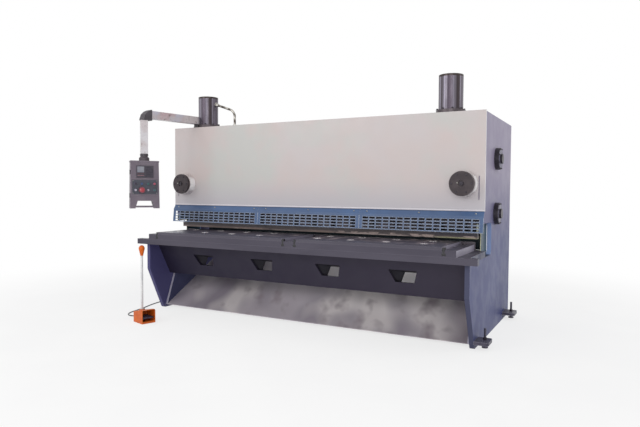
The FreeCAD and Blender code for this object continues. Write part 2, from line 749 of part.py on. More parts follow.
def chute_plate():
    """Sheet that lets cut pieces slide out at the front."""
    run = D["chute_rear"] + D["chute_front"]
    high = D["chute_low"] + run * tangent(D["chute_angle"])
    thick = D["chute_sheet"] / cosine(D["chute_angle"])
    corners = [
        (-D["chute_front"], D["chute_low"]),
        (D["chute_rear"], high),
        (D["chute_rear"], high + thick),
        (-D["chute_front"], D["chute_low"] + thick),
    ]
    half = INNER - D["gusset_thick"]
    prism("chute_plate", "YZ_Plane", corners, 2 * half, -half)


# Hydraulics


def cylinders():
    """Two hollow main cylinders with a flange, closed at the top."""
    cap_low = D["cylinder_height"] - D["cylinder_cap"]
    corners = [
        (D["cylinder_bore"], 0),
        (D["flange_radius"], 0),
        (D["flange_radius"], D["flange_thick"]),
        (D["cylinder_radius"], D["flange_thick"]),
        (D["cylinder_radius"], D["cylinder_height"]),
        (0, D["cylinder_height"]),
        (0, cap_low),
        (D["cylinder_bore"], cap_low),
    ]
    for side, sign in (("left", -1), ("right", 1)):
        body = new_body(f"cylinder_{side}")
        drawing = new_sketch(body, "XZ_Plane", "Section")
        polygon(drawing, corners)
        revolve(body, drawing)
        place(body, sign * CYLINDER_X, D["cylinder_y"], CROWN_TOP)
        node(body, f"cylinder_{side}")


def hydraulic_pipe():
    """Bent pipe from the left cylinder down to the crown plate."""
    reach, bend, rise, slope = D["pipe_reach"], D["pipe_bend"], D["pipe_rise"], D["pipe_slope"]
    centre = (reach - bend, rise - bend / cosine(slope) - (reach - bend) * tangent(slope))
    first = (centre[0] + bend * sine(slope), centre[1] + bend * cosine(slope))
    stand = D["pipe_radius"] * sine(slope)
    port = rise - stand * tangent(slope)
    body = new_body("hydraulic_pipe")
    path = new_sketch(body, "XZ_Plane", "Path")
    foot = FreeCAD.Vector(reach.number, 0, 0)
    turn_in = FreeCAD.Vector(reach.number, centre[1].number, 0)
    turn_out = FreeCAD.Vector(first[0].number, first[1].number, 0)
    middle = FreeCAD.Vector(centre[0].number, centre[1].number, 0)
    end = FreeCAD.Vector(stand.number, port.number, 0)
    turn = math.pi / 2 - math.radians(slope.number)
    arc = Part.ArcOfCircle(Part.Circle(middle, FreeCAD.Vector(0, 0, 1), bend.number), 0, turn)
    path.addGeometry([Part.LineSegment(foot, turn_in), arc, Part.LineSegment(turn_out, end)], False)
    path.addConstraint(Sketcher.Constraint("Coincident", 0, 2, 1, 1))
    path.addConstraint(Sketcher.Constraint("Coincident", 1, 2, 2, 1))
    spots = ((0, 1, reach, 0), (1, 3, *centre), (2, 1, *first), (2, 2, stand, port))
    for geometry, corner, x, y in spots:
        hold(path, "DistanceX", geometry, corner, x)
        hold(path, "DistanceY", geometry, corner, y)
    hold(path, "DistanceY", 0, 2, centre[1])
    ring = new_sketch(body, "XY_Plane", "Ring")
    circle(ring, reach, 0, D["pipe_radius"])
    pipe = body.newObject("PartDesign::AdditivePipe", "Pipe")
    pipe.Profile = ring
    pipe.Spine = (path, ["Edge1", "Edge2", "Edge3"])
    wall = D["cylinder_radius"] - CYLINDER_X
    place(body, wall, D["cylinder_y"], CROWN_TOP)
    node(body, "hydraulic_pipe")


def oil_tank():
    """Tank across the back with an overhanging lid."""
    front = D["plate_rear"] - D["tank_inset"] - D["tank_depth"]
    tank = block(-INNER, front, TANK_LOW, 2 * INNER, D["tank_depth"], D["tank_height"])
    lid = block(
        D["lid_thick"] - INNER,
        front - D["lid_thick"],
        TANK_LOW + D["tank_height"],
        2 * (INNER - D["lid_thick"]),
        D["tank_depth"] + 2 * D["lid_thick"],
        D["lid_thick"],
    )
    place(node(fuse([tank, lid]), "oil_tank"))


def pump_motor():
    """Motor, pump and valve block on the tank's lid."""
    floor = TANK_LOW + D["tank_height"] + D["lid_thick"]
    middle = D["plate_rear"] - D["tank_inset"] - D["tank_depth"] / 2
    radius = D["motor_radius"]
    axis = floor + radius + D["lid_thick"]
    length = D["motor_length"]
    inset = (length - D["motor_foot"]) / 2
    motor = rod(0, middle, axis, radius, length, "+X")
    foot = block(inset, middle - radius, floor, D["motor_foot"], 2 * radius, axis - floor)
    pump = rod(length, middle, axis, D["pump_radius"], D["pump_length"], "+X")
    valves = block(
        length + D["valve_gap"], middle - radius, floor, D["valve_length"], 2 * radius, axis - floor
    )
    place(node(fuse([motor, foot, pump, valves]), "pump_motor"))


# Guides


def front_guide_caps():
    """Round caps on the panel's bosses, each with a recess."""
    front = -D["cap_proud"]
    caps = []
    for sign in (-1, 1):
        x = sign * CAP_X
        depth = D["recess_depth"]
        disc = rod(x, front, CAP_HEIGHT, D["cap_radius"], D["cap_thick"], "+Y")
        recess = rod(x, front - depth, CAP_HEIGHT, D["recess_radius"], 2 * depth, "+Y")
        caps.append(cut(disc, [recess]))
    place(node(fuse(caps), "front_guide_caps"))


def side_guide_caps():
    """Two stepped caps on each side plate."""
    corners = [
        (0, 0),
        (D["side_cap_radius"], 0),
        (D["side_cap_radius"], D["side_cap_thick"]),
        (D["side_hub_radius"], D["side_cap_thick"]),
        (D["side_hub_radius"], D["side_cap_thick"] + D["side_hub_thick"]),
        (0, D["side_cap_thick"] + D["side_hub_thick"]),
    ]
    step = D["side_cap_high"] - D["side_cap_low"]
    sides = []
    for sign in (-1, 1):
        body = new_body("SideCaps")
        section = new_sketch(body, "XY_Plane", "Section")
        polygon(section, [(sign * height, radius) for radius, height in corners])
        cap = revolve(body, section, "H_Axis")
        pattern(body, cap, section, "N_Axis", step, 2)
        for name, size in (("x", sign * HALF_FRAME), ("y", D["side_cap_y"]), ("z", THROAT_TOP + D["side_cap_low"])):
            bind(body, f"Placement.Base.{name}", size)
        sides.append(body)
    place(node(fuse(sides), "side_guide_caps"))


# Finger guard


def guard(label, n):
    """One length of bent sheet with rows of openings."""
    sheet = D["guard_sheet"]
    low = GUARD_LOW
    high = PANEL_LOW
    bend = high - D["guard_bend"]
    corners = [
        (0, high),
        (-D["guard_step"], bend),
        (-D["guard_lean"], low),
        (sheet - D["guard_lean"], low),
        (sheet - D["guard_step"], bend),
        (sheet, high),
    ]
    span = 2 * PANEL_HALF / 3
    length = span - D["guard_gap"]
    body, _ = prism(label, "YZ_Plane", corners, length, (n - 1.5) * span + D["guard_gap"] / 2)
    columns, rows = D["mesh_columns"], D["mesh_rows"]
    start = D["mesh_end"]
    wide = (length - 2 * start - (columns - 1) * D["mesh_web"]) / columns
    run = length - 2 * start - wide
    openings = new_sketch(body, "XZ_Plane", "Openings")
    for row in range(int(rows.number)):
        z = GUARD_LOW + D["mesh_lift"] + row * D["mesh_step"]
        polygon(openings, rectangle(start, start + wide, z, z + D["mesh_height"]))
    column = pocket(body, openings, 2 * D["guard_lean"], back=True)
    pattern(body, column, openings, "H_Axis", run, columns)


# Hold-down


def hold_down_cylinders():
    """A row of short cylinders under the press beam, bored for the plungers."""
    bore = D["plunger_radius"] + D["plunger_gap"]
    roof = D["press_length"] - D["press_roof"]
    corners = [
        (bore, -D["press_length"]),
        (D["press_radius"], -D["press_length"]),
        (D["press_radius"], 0),
        (0, 0),
        (0, roof - D["press_length"]),
        (bore, roof - D["press_length"]),
    ]
    body = new_body("hold_down_cylinders")
    section = new_sketch(body, "XZ_Plane", "Section")
    polygon(section, corners)
    first = revolve(body, section)
    pattern(body, first, section, "H_Axis", PRESS_RUN, D["press_count"])
    place(body, -PRESS_RUN / 2, D["press_y"], THROAT_TOP)
    node(body, "hold_down_cylinders")


def hold_down_bar():
    """Pressing bar with its row of plungers."""
    body = new_body("hold_down_bar")
    section = new_sketch(body, "XY_Plane", "Bar")
    depth = D["bar_depth"] / 2
    polygon(section, rectangle(-BAR_HALF, BAR_HALF, -depth, depth))
    pad(body, section, D["bar_height"])
    plunger = new_sketch(body, "XY_Plane", "Plunger")
    circle(plunger, -PRESS_RUN / 2, 0, D["plunger_radius"])
    first = pad(body, plunger, THROAT_TOP - D["bar_lift"] - BAR_LOW)
    pattern(body, first, plunger, "H_Axis", PRESS_RUN, D["press_count"])
    place(body, 0, D["press_y"], BAR_LOW)
    node(body, "hold_down_bar")


# Table


def table_bed():
    """Bottom plate: a full-length front strip and the part that sits on the side plates."""
    front = -D["table_front"]
    nose = front + D["nosing_depth"]
    half = HALF_FRAME + D["nosing_over"]
    corners = [
        (-half, front),
        (half, front),
        (half, nose),
        (HALF_FRAME, nose),
        (HALF_FRAME, BED_REAR),
        (-HALF_FRAME, BED_REAR),
        (-HALF_FRAME, nose),
        (-half, nose),
    ]
    prism("table_bed", "XY_Plane", corners, D["bed_thick"], 0, 0, D["shoulder_height"])


def pad_ends():
    """Both raised plates as (left end, right end)."""
    half = D["pad_channel"] / 2
    left = D["pad_left"] - TOP_HALF
    right = TOP_HALF - D["pad_right"]
    return [(left, D["pad_break"] - half), (D["pad_break"] + half, right)]


def table_top_plate():
    """Middle plate with a T-slot beside each end of the raised plates."""
    front = -D["table_front"]
    depth = BLADE_FRONT - front
    outline = rectangle(-TOP_HALF, TOP_HALF, 0, D["top_thick"])
    body, _ = prism("table_top_plate", "XZ_Plane", outline, depth, 0, front, BED_TOP)
    floor, lip, top = D["slot_floor"], D["top_thick"] - D["slot_lip"], 2 * D["top_thick"]
    aside = D["slot_inset"] + D["slot_neck"] / 2
    for left, right in pad_ends():
        for x in (left - aside, right + aside):
            wide, neck = D["slot_wide"] / 2, D["slot_neck"] / 2
            slot = new_sketch(body, "XZ_Plane", "TSlot")
            outline = [
                (x - wide, floor),
                (x + wide, floor),
                (x + wide, lip),
                (x + neck, lip),
                (x + neck, top),
                (x - neck, top),
                (x - neck, lip),
                (x - wide, lip),
            ]
            polygon(slot, outline)
            pocket(body, slot, depth, back=False)


def ball_places():
    """Where the ball transfers stand: the same rows of four on each raised plate."""
    ends = pad_ends()
    left, right = ends[1]
    pitch = (right - left - D["ball_inset"] - D["ball_end"]) / (D["ball_count"] - 1)
    places = []
    for left, _ in ends:
        for y in (D["ball_front"], D["ball_back"]):
            for n in range(int(D["ball_count"].number)):
                places.append((left + D["ball_inset"] + n * pitch, y))
    return places


def table_pads():
    """Two raised plates with round pockets for the ball transfers."""
    deep = BLADE_FRONT + D["table_front"]
    body = new_body("table_pads")
    plates = new_sketch(body, "XY_Plane", "Plates")
    for left, right in pad_ends():
        polygon(plates, rectangle(left, right, 0, deep))
    pad(body, plates, D["pad_thick"])
    holes = new_sketch(body, "XY_Plane", "Cups")
    for x, y in ball_places():
        circle(holes, x, D["table_front"] - y, D["ball_cup"])
    pocket(body, holes, D["pad_thick"], back=True)
    place(body, 0, -D["table_front"], TOP_TOP)
    node(body, "table_pads")


def ball_dome(x, y):
    """The part of a ball that stands out of its cup."""
    ball = document.addObject("Part::Sphere", "Ball")
    ball.Angle1 = 35
    bind(ball, "Radius", D["ball_radius"])
    centre = TABLE_TOP + D["ball_proud"] - D["ball_radius"]
    for name, size in (("x", x), ("y", y), ("z", centre)):
        bind(ball, f"Placement.Base.{name}", size)
    return ball


def ball_transfers():
    """A ball in a cup for each pocket of the raised plates."""
    rim = D["pad_thick"] - D["ball_seat"]
    items = []
    for x, y in ball_places():
        items.append(rod(x, -y, TOP_TOP, D["ball_cup"] - D["seat_gap"], rim))
        items.append(ball_dome(x, -y))
    place(node(fuse(items), "ball_transfers"))


# Blades and ram


def lower_blade():
    outline = rectangle(-BLADE_HALF, BLADE_HALF, 0, TABLE_TOP - BED_TOP - D["blade_sunk"])
    prism("lower_blade", "XZ_Plane", outline, D["blade_thick"], 0, BLADE_FRONT, BED_TOP)


def upper_blade():
    """Raked blade: low at the left end, high at the right end."""
    half = BLADE_HALF
    rise = 2 * half * RAKE
    corners = [(-half, 0), (half, rise), (half, rise + D["blade_height"]), (-half, D["blade_height"])]
    prism("upper_blade", "XZ_Plane", corners, D["blade_thick"], 0, UPPER_FRONT, EDGE_LOW)


def ram_beam():
    """Blade beam: raked plate, top flange, rear ribs and the two piston rods."""
    half = RAM_HALF
    low = D["blade_height"] - D["ram_cover"]
    rise = 2 * half * RAKE
    high = RAM_TOP - EDGE_LOW
    corners = [(-half, low), (half, low + rise), (half, high), (-half, high)]
    body, _ = prism("ram_beam", "XZ_Plane", corners, D["ram_thick"], 0, RAM_FRONT, EDGE_LOW)
    axis = D["cylinder_y"] - RAM_FRONT
    flange = new_sketch(body, "XY_Plane", "Flange", high - D["rib_thick"])
    polygon(flange, rectangle(-half, half, axis - D["ram_flange"] / 2, axis + D["ram_flange"] / 2))
    pad(body, flange, D["rib_thick"])
    ribs = new_sketch(body, "XY_Plane", "Ribs", low + rise)
    back = D["ram_thick"]
    polygon(ribs, rectangle(-half, D["rib_thick"] - half, back, back + D["ram_rib"]))
    rib = pad(body, ribs, high - low - rise)
    pattern(body, rib, ribs, "H_Axis", 2 * half - D["rib_thick"], D["rib_count"])
    rods = new_sketch(body, "XY_Plane", "Rods", high)
    for sign in (-1, 1):
        circle(rods, sign * CYLINDER_X, axis, D["rod_radius"])
    pad(body, rods, CROWN_TOP + D["rod_top"] - RAM_TOP)
    pistons = new_sketch(body, "XY_Plane", "Pistons", CROWN_TOP + D["rod_top"] - EDGE_LOW - D["piston_thick"])
    for sign in (-1, 1):
        circle(pistons, sign * CYLINDER_X, axis, D["cylinder_bore"] - D["seat_gap"])
    pad(body, pistons, D["piston_thick"])


def back_gauge():
    """Two arms behind the bed and the stop bar that lies on them."""
    high = D["shoulder_height"] + D["bed_thick"] / 2
    width = D["gauge_width"]
    middle = INNER - D["gauge_inset"]
    half = middle + D["gauge_over"]
    arms = [
        block(sign * middle - width / 2, BED_REAR, high - width, width, D["gauge_arm"], width)
        for sign in (-1, 1)
    ]
    bar = block(-half, D["gauge_stop"], high, 2 * half, width / 2, D["gauge_bar"])
    place(node(fuse([*arms, bar]), "back_gauge"))


# Feet


def levelling_lug(y, sign):
    """One foot's plate with its two outer corners rounded, bored for the anchor bolt."""
    out, half = D["jack_out"], D["jack_length"] / 2
    body = new_body("Lug")
    outline = new_sketch(body, "XY_Plane", "Outline", D["jack_top"] - D["jack_thick"])
    ends = [(sign * (HALF_FRAME + out), y - half), (sign * (HALF_FRAME + out), y + half)]
    polygon(outline, [(sign * HALF_FRAME, y - half), *ends, (sign * HALF_FRAME, y + half)])
    plate = pad(body, outline, D["jack_thick"])
    round_edges(body, plate, "XY_Plane", ends, D["jack_corner"])
    x = sign * (HALF_FRAME + D["anchor_out"])
    hole = rod(x, y - D["anchor_step"], 0, D["anchor_radius"], 2 * D["jack_top"])
    return cut(body, [hole])


def levelling_feet(side, sign, front):
    """Front and rear foot on one side plate: plate, levelling screw and anchor hole."""
    items = []
    x = sign * (HALF_FRAME + D["anchor_out"])
    for y in (-front, D["jack_rear"]):
        screw = rod(x, y + D["anchor_step"], 0, D["jack_radius"], D["jack_height"])
        shoe = rod(x, y + D["anchor_step"], 0, D["shoe_radius"], D["shoe_height"])
        items += [levelling_lug(y, sign), screw, shoe]
    place(node(fuse(items), f"levelling_feet_{side}"))


# Pendant control


def elbow_spot():
    """The drop tube's axis."""
    x = PIVOT_X - D["arm_reach"] * sine(D["arm_angle"])
    y = D["pivot_y"] - D["arm_reach"] * cosine(D["arm_angle"])
    return x, y


def pendant_base():
    """Pivot post with a foot on the panel's folded top."""
    top = ARM_HEIGHT - D["arm_tube"] / 2 - D["seat_gap"]
    height = top - CROWN_TOP
    post = rod(PIVOT_X, D["pivot_y"], CROWN_TOP, D["post_pivot"], height)
    foot = rod(PIVOT_X, D["pivot_y"], CROWN_TOP, D["post_foot"], D["foot_thick"])
    place(node(fuse([post, foot]), "pendant_base"))


def turned_arm(body, label):
    """Sets a piece drawn pointing forward on the pivot, turned by the arm's angle."""
    body.Placement = FreeCAD.Placement(
        FreeCAD.Vector(), FreeCAD.Rotation(FreeCAD.Vector(0, 0, 1), -D["arm_angle"].number)
    )
    place(body, PIVOT_X, D["pivot_y"], ARM_HEIGHT)
    node(body, label)


def pendant_arm():
    """Square tube with the round head that turns on the pivot."""
    half = D["arm_tube"] / 2
    body = new_body("pendant_arm")
    tube = new_sketch(body, "XY_Plane", "Tube", -half)
    polygon(tube, rectangle(-half, half, D["elbow_inner"] - D["arm_reach"], 0))
    pad(body, tube, D["arm_tube"])
    head = new_sketch(body, "XY_Plane", "Head", -half)
    circle(head, 0, 0, half)
    pad(body, head, D["arm_tube"])
    turned_arm(body, "pendant_arm")


def pendant_elbow():
    """Cast elbow with a sloping back, bored from below for the drop tube's spigot."""
    reach, top, low = D["arm_reach"], D["elbow_top"], D["elbow_bottom"]
    inner, outer = D["elbow_inner"] - reach, -D["elbow_outer"] - reach
    half = D["arm_tube"] / 2 + D["elbow_wall"]
    body = new_body("pendant_elbow")
    side = new_sketch(body, "YZ_Plane", "Side", -half)
    bend = [(inner - top / 4, top), (outer + top, top * 2 / 3), (outer + top / 3, 0)]
    polygon(side, [(inner, -low), (inner, top), *bend, (outer, -top), (outer, -low)])
    pad(body, side, 2 * half)
    bore = new_sketch(body, "XY_Plane", "Bore", D["spigot_length"] + D["seat_gap"] - low)
    circle(bore, 0, -reach, D["spigot_radius"] + D["seat_gap"])
    pocket(body, bore, 2 * low)
    turned_arm(body, "pendant_elbow")


def turned_box(item, label):
    """Sets a piece on the drop tube's axis, turned with the control box."""
    x, y = elbow_spot()
    item.Placement = FreeCAD.Placement(
        FreeCAD.Vector(), FreeCAD.Rotation(FreeCAD.Vector(0, 0, 1), D["box_angle"].number)
    )
    place(item, x, y, BOX_LOW)
    node(item, label)


def pendant_drop():
    """Square drop tube, hung in the elbow by a round spigot."""
    half = D["drop_tube"] / 2
    top = DROP_TOP - BOX_LOW
    tube = block(-half, -half, top - D["drop_length"], 2 * half, 2 * half, D["drop_length"])
    spigot = rod(0, 0, top, D["spigot_radius"], D["spigot_length"])
    turned_box(fuse([tube, spigot]), "pendant_drop")


def box_coupling():
    """Turned coupling that tapers from the box up to the drop tube."""
    radius, top, low = D["neck_radius"], D["neck_top"], D["box_height"]
    rim = low + D["neck_rim"]
    shoulder = rim + radius - top
    high = low + D["neck_height"]
    body = new_body("Coupling")
    section = new_sketch(body, "XZ_Plane", "Section")
    polygon(section, [(0, low), (radius, low), (radius, rim), (top, shoulder), (top, high), (0, high)])
    revolve(body, section)
    return body


def control_box():
    """Housing with a lipped top and a coupling, and a handle opening and two feet below."""
    height, depth = D["box_height"], D["box_depth"]
    foot, half = D["box_width"] / 2, D["box_narrow"] / 2
    lip, thick = D["box_lip"], D["lip_thick"]
    shell = new_body("Shell")
    sides = new_sketch(shell, "XZ_Plane", "Sides", -depth / 2)
    polygon(sides, [(-foot, 0), (foot, 0), (half, height), (-half, height)])
    pad(shell, sides, depth)
    cap = block(-half - lip, -depth / 2 - lip, height - thick, 2 * (half + lip), depth + 2 * lip, thick)
    step = block(-D["feet_gap"] / 2, -depth, -height, D["feet_gap"], 2 * depth, height + D["handle_rise"])
    low, wide, top = D["handle_low"], D["handle_wide"] / 2, D["handle_top"] / 2
    high = low + D["handle_high"]
    opening = new_body("Opening")
    outline = new_sketch(opening, "XZ_Plane", "Outline", -depth)
    polygon(outline, [(-wide, low), (wide, low), (top, high), (-top, high)])
    pad(opening, outline, 2 * depth)
    turned_box(fuse([cut(fuse([shell, cap]), [step, opening]), box_coupling()]), "control_box")


def control_screen():
    """Screen and keypad side by side on the box's face."""
    height, width = D["screen_height"], D["screen_width"] / 2
    low = D["box_height"] - D["screen_drop"] - height
    face = -D["box_depth"] / 2
    screen = block(-width, face - D["screen_proud"], low, width, D["screen_proud"], height)
    keypad = block(0, face - D["plate_proud"], low, width, D["plate_proud"], height)
    turned_box(fuse([screen, keypad]), "control_screen")


def control_buttons():
    """Button plate with two rows of buttons and the stop button."""
    height, half = D["keys_height"], D["keys_width"] / 2
    low = D["box_height"] - D["keys_drop"] - height
    face = -D["box_depth"] / 2
    items = [block(-half, face - D["plate_proud"], low, 2 * half, D["plate_proud"], height)]
    middle = low + height / 2
    for row in (-1, 1):
        z = middle + row * D["button_rows"] / 2
        for column in range(4):
            x = (column - 1.5) * D["button_pitch"]
            items.append(rod(x, face, z, D["button_radius"], D["button_proud"], "-Y"))
    z = middle - D["button_rows"] / 2
    items.append(rod(-D["button_pitch"] / 2, face, z, D["stop_radius"], D["stop_proud"], "-Y"))
    turned_box(fuse(items), "control_buttons")


# Foot switch


def turned_pedal(item, label):
    """Sets a piece of the foot switch on the floor, turned with it."""
    item.Placement = FreeCAD.Placement(
        FreeCAD.Vector(), FreeCAD.Rotation(FreeCAD.Vector(0, 0, 1), D["pedal_angle"].number)
    )
    place(item, D["pedal_x"], D["pedal_y"], 0)
    node(item, label)


def hood_profile(inset=0.0):
    """Side view of the hood: the roof falls from the open end to the rear; an inset gives its inside."""
    half, high, low = D["pedal_length"] / 2, D["pedal_height"], D["pedal_low"]
    slope = (high - low) / D["pedal_length"]
    if not inset:
        return [(-half, 0), (half, 0), (half, high), (-half, low)]
    rear, front, floor = D["pedal_rear"] - half, 2 * half, D["pedal_floor"]
    roof = [(front, high - inset + slope * half), (rear, low - inset + slope * D["pedal_rear"])]
    return [(rear, floor), (front, floor), *roof]


def hood_side(inset, width):
    """The side view as a body of some width, across the foot switch."""
    body = new_body("Side")
    profile = new_sketch(body, "XZ_Plane", "Profile", -width / 2)
    polygon(profile, hood_profile(inset))
    pad(body, profile, width)
    return body


def hood_outlines():
    """The hood seen from above, round at its rear corners, and from its open end, round at its top."""
    half, wide = D["pedal_length"] / 2, D["pedal_width"] / 2
    above = new_body("Above")
    plan = new_sketch(above, "XY_Plane", "Plan")
    polygon(plan, rectangle(-half, half, -wide, wide))
    raised = pad(above, plan, D["pedal_height"])
    round_edges(above, raised, "XY_Plane", [(-half, -wide), (-half, wide)], D["pedal_round"])
    end = new_body("End")
    ends = new_sketch(end, "YZ_Plane", "Ends", -half)
    polygon(ends, rectangle(-wide, wide, 0, D["pedal_height"]))
    long = pad(end, ends, 2 * half)
    top = D["pedal_height"]
    round_edges(end, long, "YZ_Plane", [(-wide, top), (wide, top)], D["pedal_edge"])
    return [above, end]


def pedal_housing():
    """Hood open at one end for the foot, with the treadle's pin across it and the post's seat on top."""
    width, wall = D["pedal_width"], D["pedal_wall"]
    hood = common([hood_side(0, width), *hood_outlines()])
    inside = hood_side(wall, width - 2 * wall)
    seat = rod(-D["post_back"], 0, D["pedal_low"], D["seat_radius"], D["post_seat"] - D["pedal_low"])
    start = (wall - width) / 2
    pin = rod(-D["pin_back"], start, D["pin_height"], D["pin_radius"], width - wall, "+Y")
    turned_pedal(fuse([cut(fuse([hood, seat]), [inside]), pin]), "pedal_housing")


def pedal_treadle():
    """Foot plate inside the hood, with the hub that turns on the pin."""
    wide = D["pedal_width"] / 2 - D["pedal_wall"] - D["treadle_side"]
    x, z, thick = -D["pin_back"], D["pin_height"], D["treadle_thick"]
    hub = rod(x, -wide, z, D["hub_radius"], 2 * wide, "+Y")
    plate = block(x, -wide, z - thick / 2, D["treadle_length"], 2 * wide, thick)
    bore = rod(x, -2 * wide, z, D["pin_radius"] + D["seat_gap"], 4 * wide, "+Y")
    turned_pedal(cut(fuse([hub, plate]), [bore]), "pedal_treadle")


def pedal_post():
    """Carrying post on the hood, with a collar at its foot."""
    foot = D["post_seat"]
    post = rod(-D["post_back"], 0, foot, D["post_radius"], D["post_length"])
    collar = rod(-D["post_back"], 0, foot, D["collar_radius"], D["collar_height"])
    turned_pedal(fuse([post, collar]), "pedal_post")


def pedal_knob():
    """Pear-shaped knob on the post, widest near its top."""
    wide, crown = D["knob_radius"], D["knob_crown"]
    belly = POST_TOP + D["knob_height"] - crown
    back = 0 - D["post_back"]
    head = document.addObject("Part::Ellipsoid", "Head")
    bind(head, "Radius1", crown)
    bind(head, "Radius2", wide)
    bind(head, "Radius3", wide)
    neck = document.addObject("Part::Cone", "Neck")
    bind(neck, "Radius1", D["post_radius"] + D["collar_height"] / 4)
    bind(neck, "Radius2", wide - D["seat_gap"])
    bind(neck, "Height", belly - POST_TOP)
    for item, z in ((head, belly), (neck, POST_TOP)):
        bind(item, "Placement.Base.x", back)
        bind(item, "Placement.Base.z", z)
    turned_pedal(fuse([head, neck]), "pedal_knob")


# The cable's route from the gland to the foot switch: x, y from the panel's face, z.
CABLE_ROUTE = [
    (-1762.0, 700.0, 110.0),
    (-1812.0, 700.0, 110.0),
    (-1856.0, 676.0, 90.0),
    (-1874.0, 622.0, 58.0),
    (-1878.0, 564.0, 29.0),
    (-1884.0, 494.0, 9.0),
    (-1898.0, 402.0, 6.2),
    (-1916.0, 284.0, 6.4),
    (-1931.0, 138.0, 6.2),
    (-1932.0, -20.0, 6.2),
    (-1914.0, -160.0, 6.2),
    (-1880.0, -295.0, 6.2),
    (-1838.0, -415.0, 6.2),
    (-1812.0, -535.0, 6.2),
    (-1793.0, -645.0, 6.2),
    (-1744.0, -728.0, 6.2),
    (-1666.0, -772.0, 9.0),
    (-1583.0, -798.0, 21.0),
    (-1510.48, -825.05, 30.0),
    (-1465.63, -838.76, 30.0),
]


def corner_arc(before, corner, after):
    """The largest even arc at one corner of the route: its start, middle, end and radius."""
    back, ahead = before - corner, after - corner
    reach = 0.45 * min(back.Length, ahead.Length)
    turn = math.pi - back.getAngle(ahead)
    radius = reach / math.tan(turn / 2)
    back.normalize()
    ahead.normalize()
    inward = back + ahead
    inward.normalize()
    middle = corner + inward * (radius / math.cos(turn / 2) - radius)
    return corner + back * reach, middle, corner + ahead * reach, radius


def cable_path():
    """Straight runs joined by tangent arcs."""
    points = [FreeCAD.Vector(*point) for point in CABLE_ROUTE]
    edges = []
    radii = []
    here = points[0]
    for before, corner, after in zip(points, points[1:], points[2:]):
        start, middle, end, radius = corner_arc(before, corner, after)
        edges.append(Part.LineSegment(here, start).toShape())
        edges.append(Part.Arc(start, middle, end).toShape())
        radii.append(round(radius))
        here = end
    edges.append(Part.LineSegment(here, points[-1]).toShape())
    print("cable bend radii, mm:", radii)
    return Part.Wire(edges)


def pedal_cable():
    """Cable from the gland on the left side plate, along the floor, to the foot switch."""
    path = cable_path()
    start = FreeCAD.Vector(*CABLE_ROUTE[0])
    way = FreeCAD.Vector(*CABLE_ROUTE[1]) - start
    radius = D["cable_radius"].number
    ring = Part.Wire([Part.Circle(start, way, radius).toShape()])
    cable = document.addObject("Part::Feature", "pedal_cable")
    cable.Shape = path.makePipeShell([ring], True, False)
    tube = math.pi * radius**2 * path.Length
    print("cable length, mm:", round(path.Length), "volume over tube:", round(cable.Shape.Volume / tube, 4))
    place(node(cable, "pedal_cable"))


def cable_gland():
    """Screwed gland on the left side plate."""
    x, y, z = CABLE_ROUTE[0]
    nut = rod(-HALF_FRAME, y, z, D["gland_radius"], D["gland_nut"], "-X")
    dome = rod(-HALF_FRAME, y, z, D["dome_radius"], -HALF_FRAME - x, "-X")
    place(node(fuse([nut, dome]), "cable_gland"))


def build():
    side_plate("side_plate_left", -HALF_FRAME)
    side_plate("side_plate_right", INNER)
    front_panel()
    press_beam()
    crown_plate()
    rear_tie_beam()
    gussets()
    table_beam()
    chute_plate()
    cylinders()
    hydraulic_pipe()
    oil_tank()
    pump_motor()
    front_guide_caps()
    side_guide_caps()
    for n, side in enumerate(("left", "middle", "right")):
        guard(f"guard_{side}", n)
    hold_down_cylinders()
    hold_down_bar()
    table_bed()
    table_top_plate()
    table_pads()
    ball_transfers()
    lower_blade()
    upper_blade()
    ram_beam()
    back_gauge()
    levelling_feet("left", -1, D["jack_left"])
    levelling_feet("right", 1, D["jack_right"])
    pendant_base()
    pendant_arm()
    pendant_elbow()
    pendant_drop()
    control_box()
    control_screen()
    control_buttons()
    pedal_housing()
    pedal_treadle()
    pedal_post()
    pedal_knob()
    pedal_cable()
    cable_gland()


def check():
    """Stops the build where an object or a shape is not sound."""
    document.recompute()
    for item in document.Objects:
        if "Invalid" in item.State or "Error" in item.State:
            raise RuntimeError(f"{item.Label} ({item.Name}): {item.State}")
    for item in NODES:
        if item.Shape.isNull() or not item.Shape.isValid():
            raise RuntimeError(f"{item.Label}: shape not valid")


build()
check()
os.makedirs("parts", exist_ok=True)
for item in NODES:
    item.Shape.exportStep(f"parts/{item.Label}.step")
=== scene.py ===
import math

import bpy
import numpy as np
from mathutils import Matrix, Vector

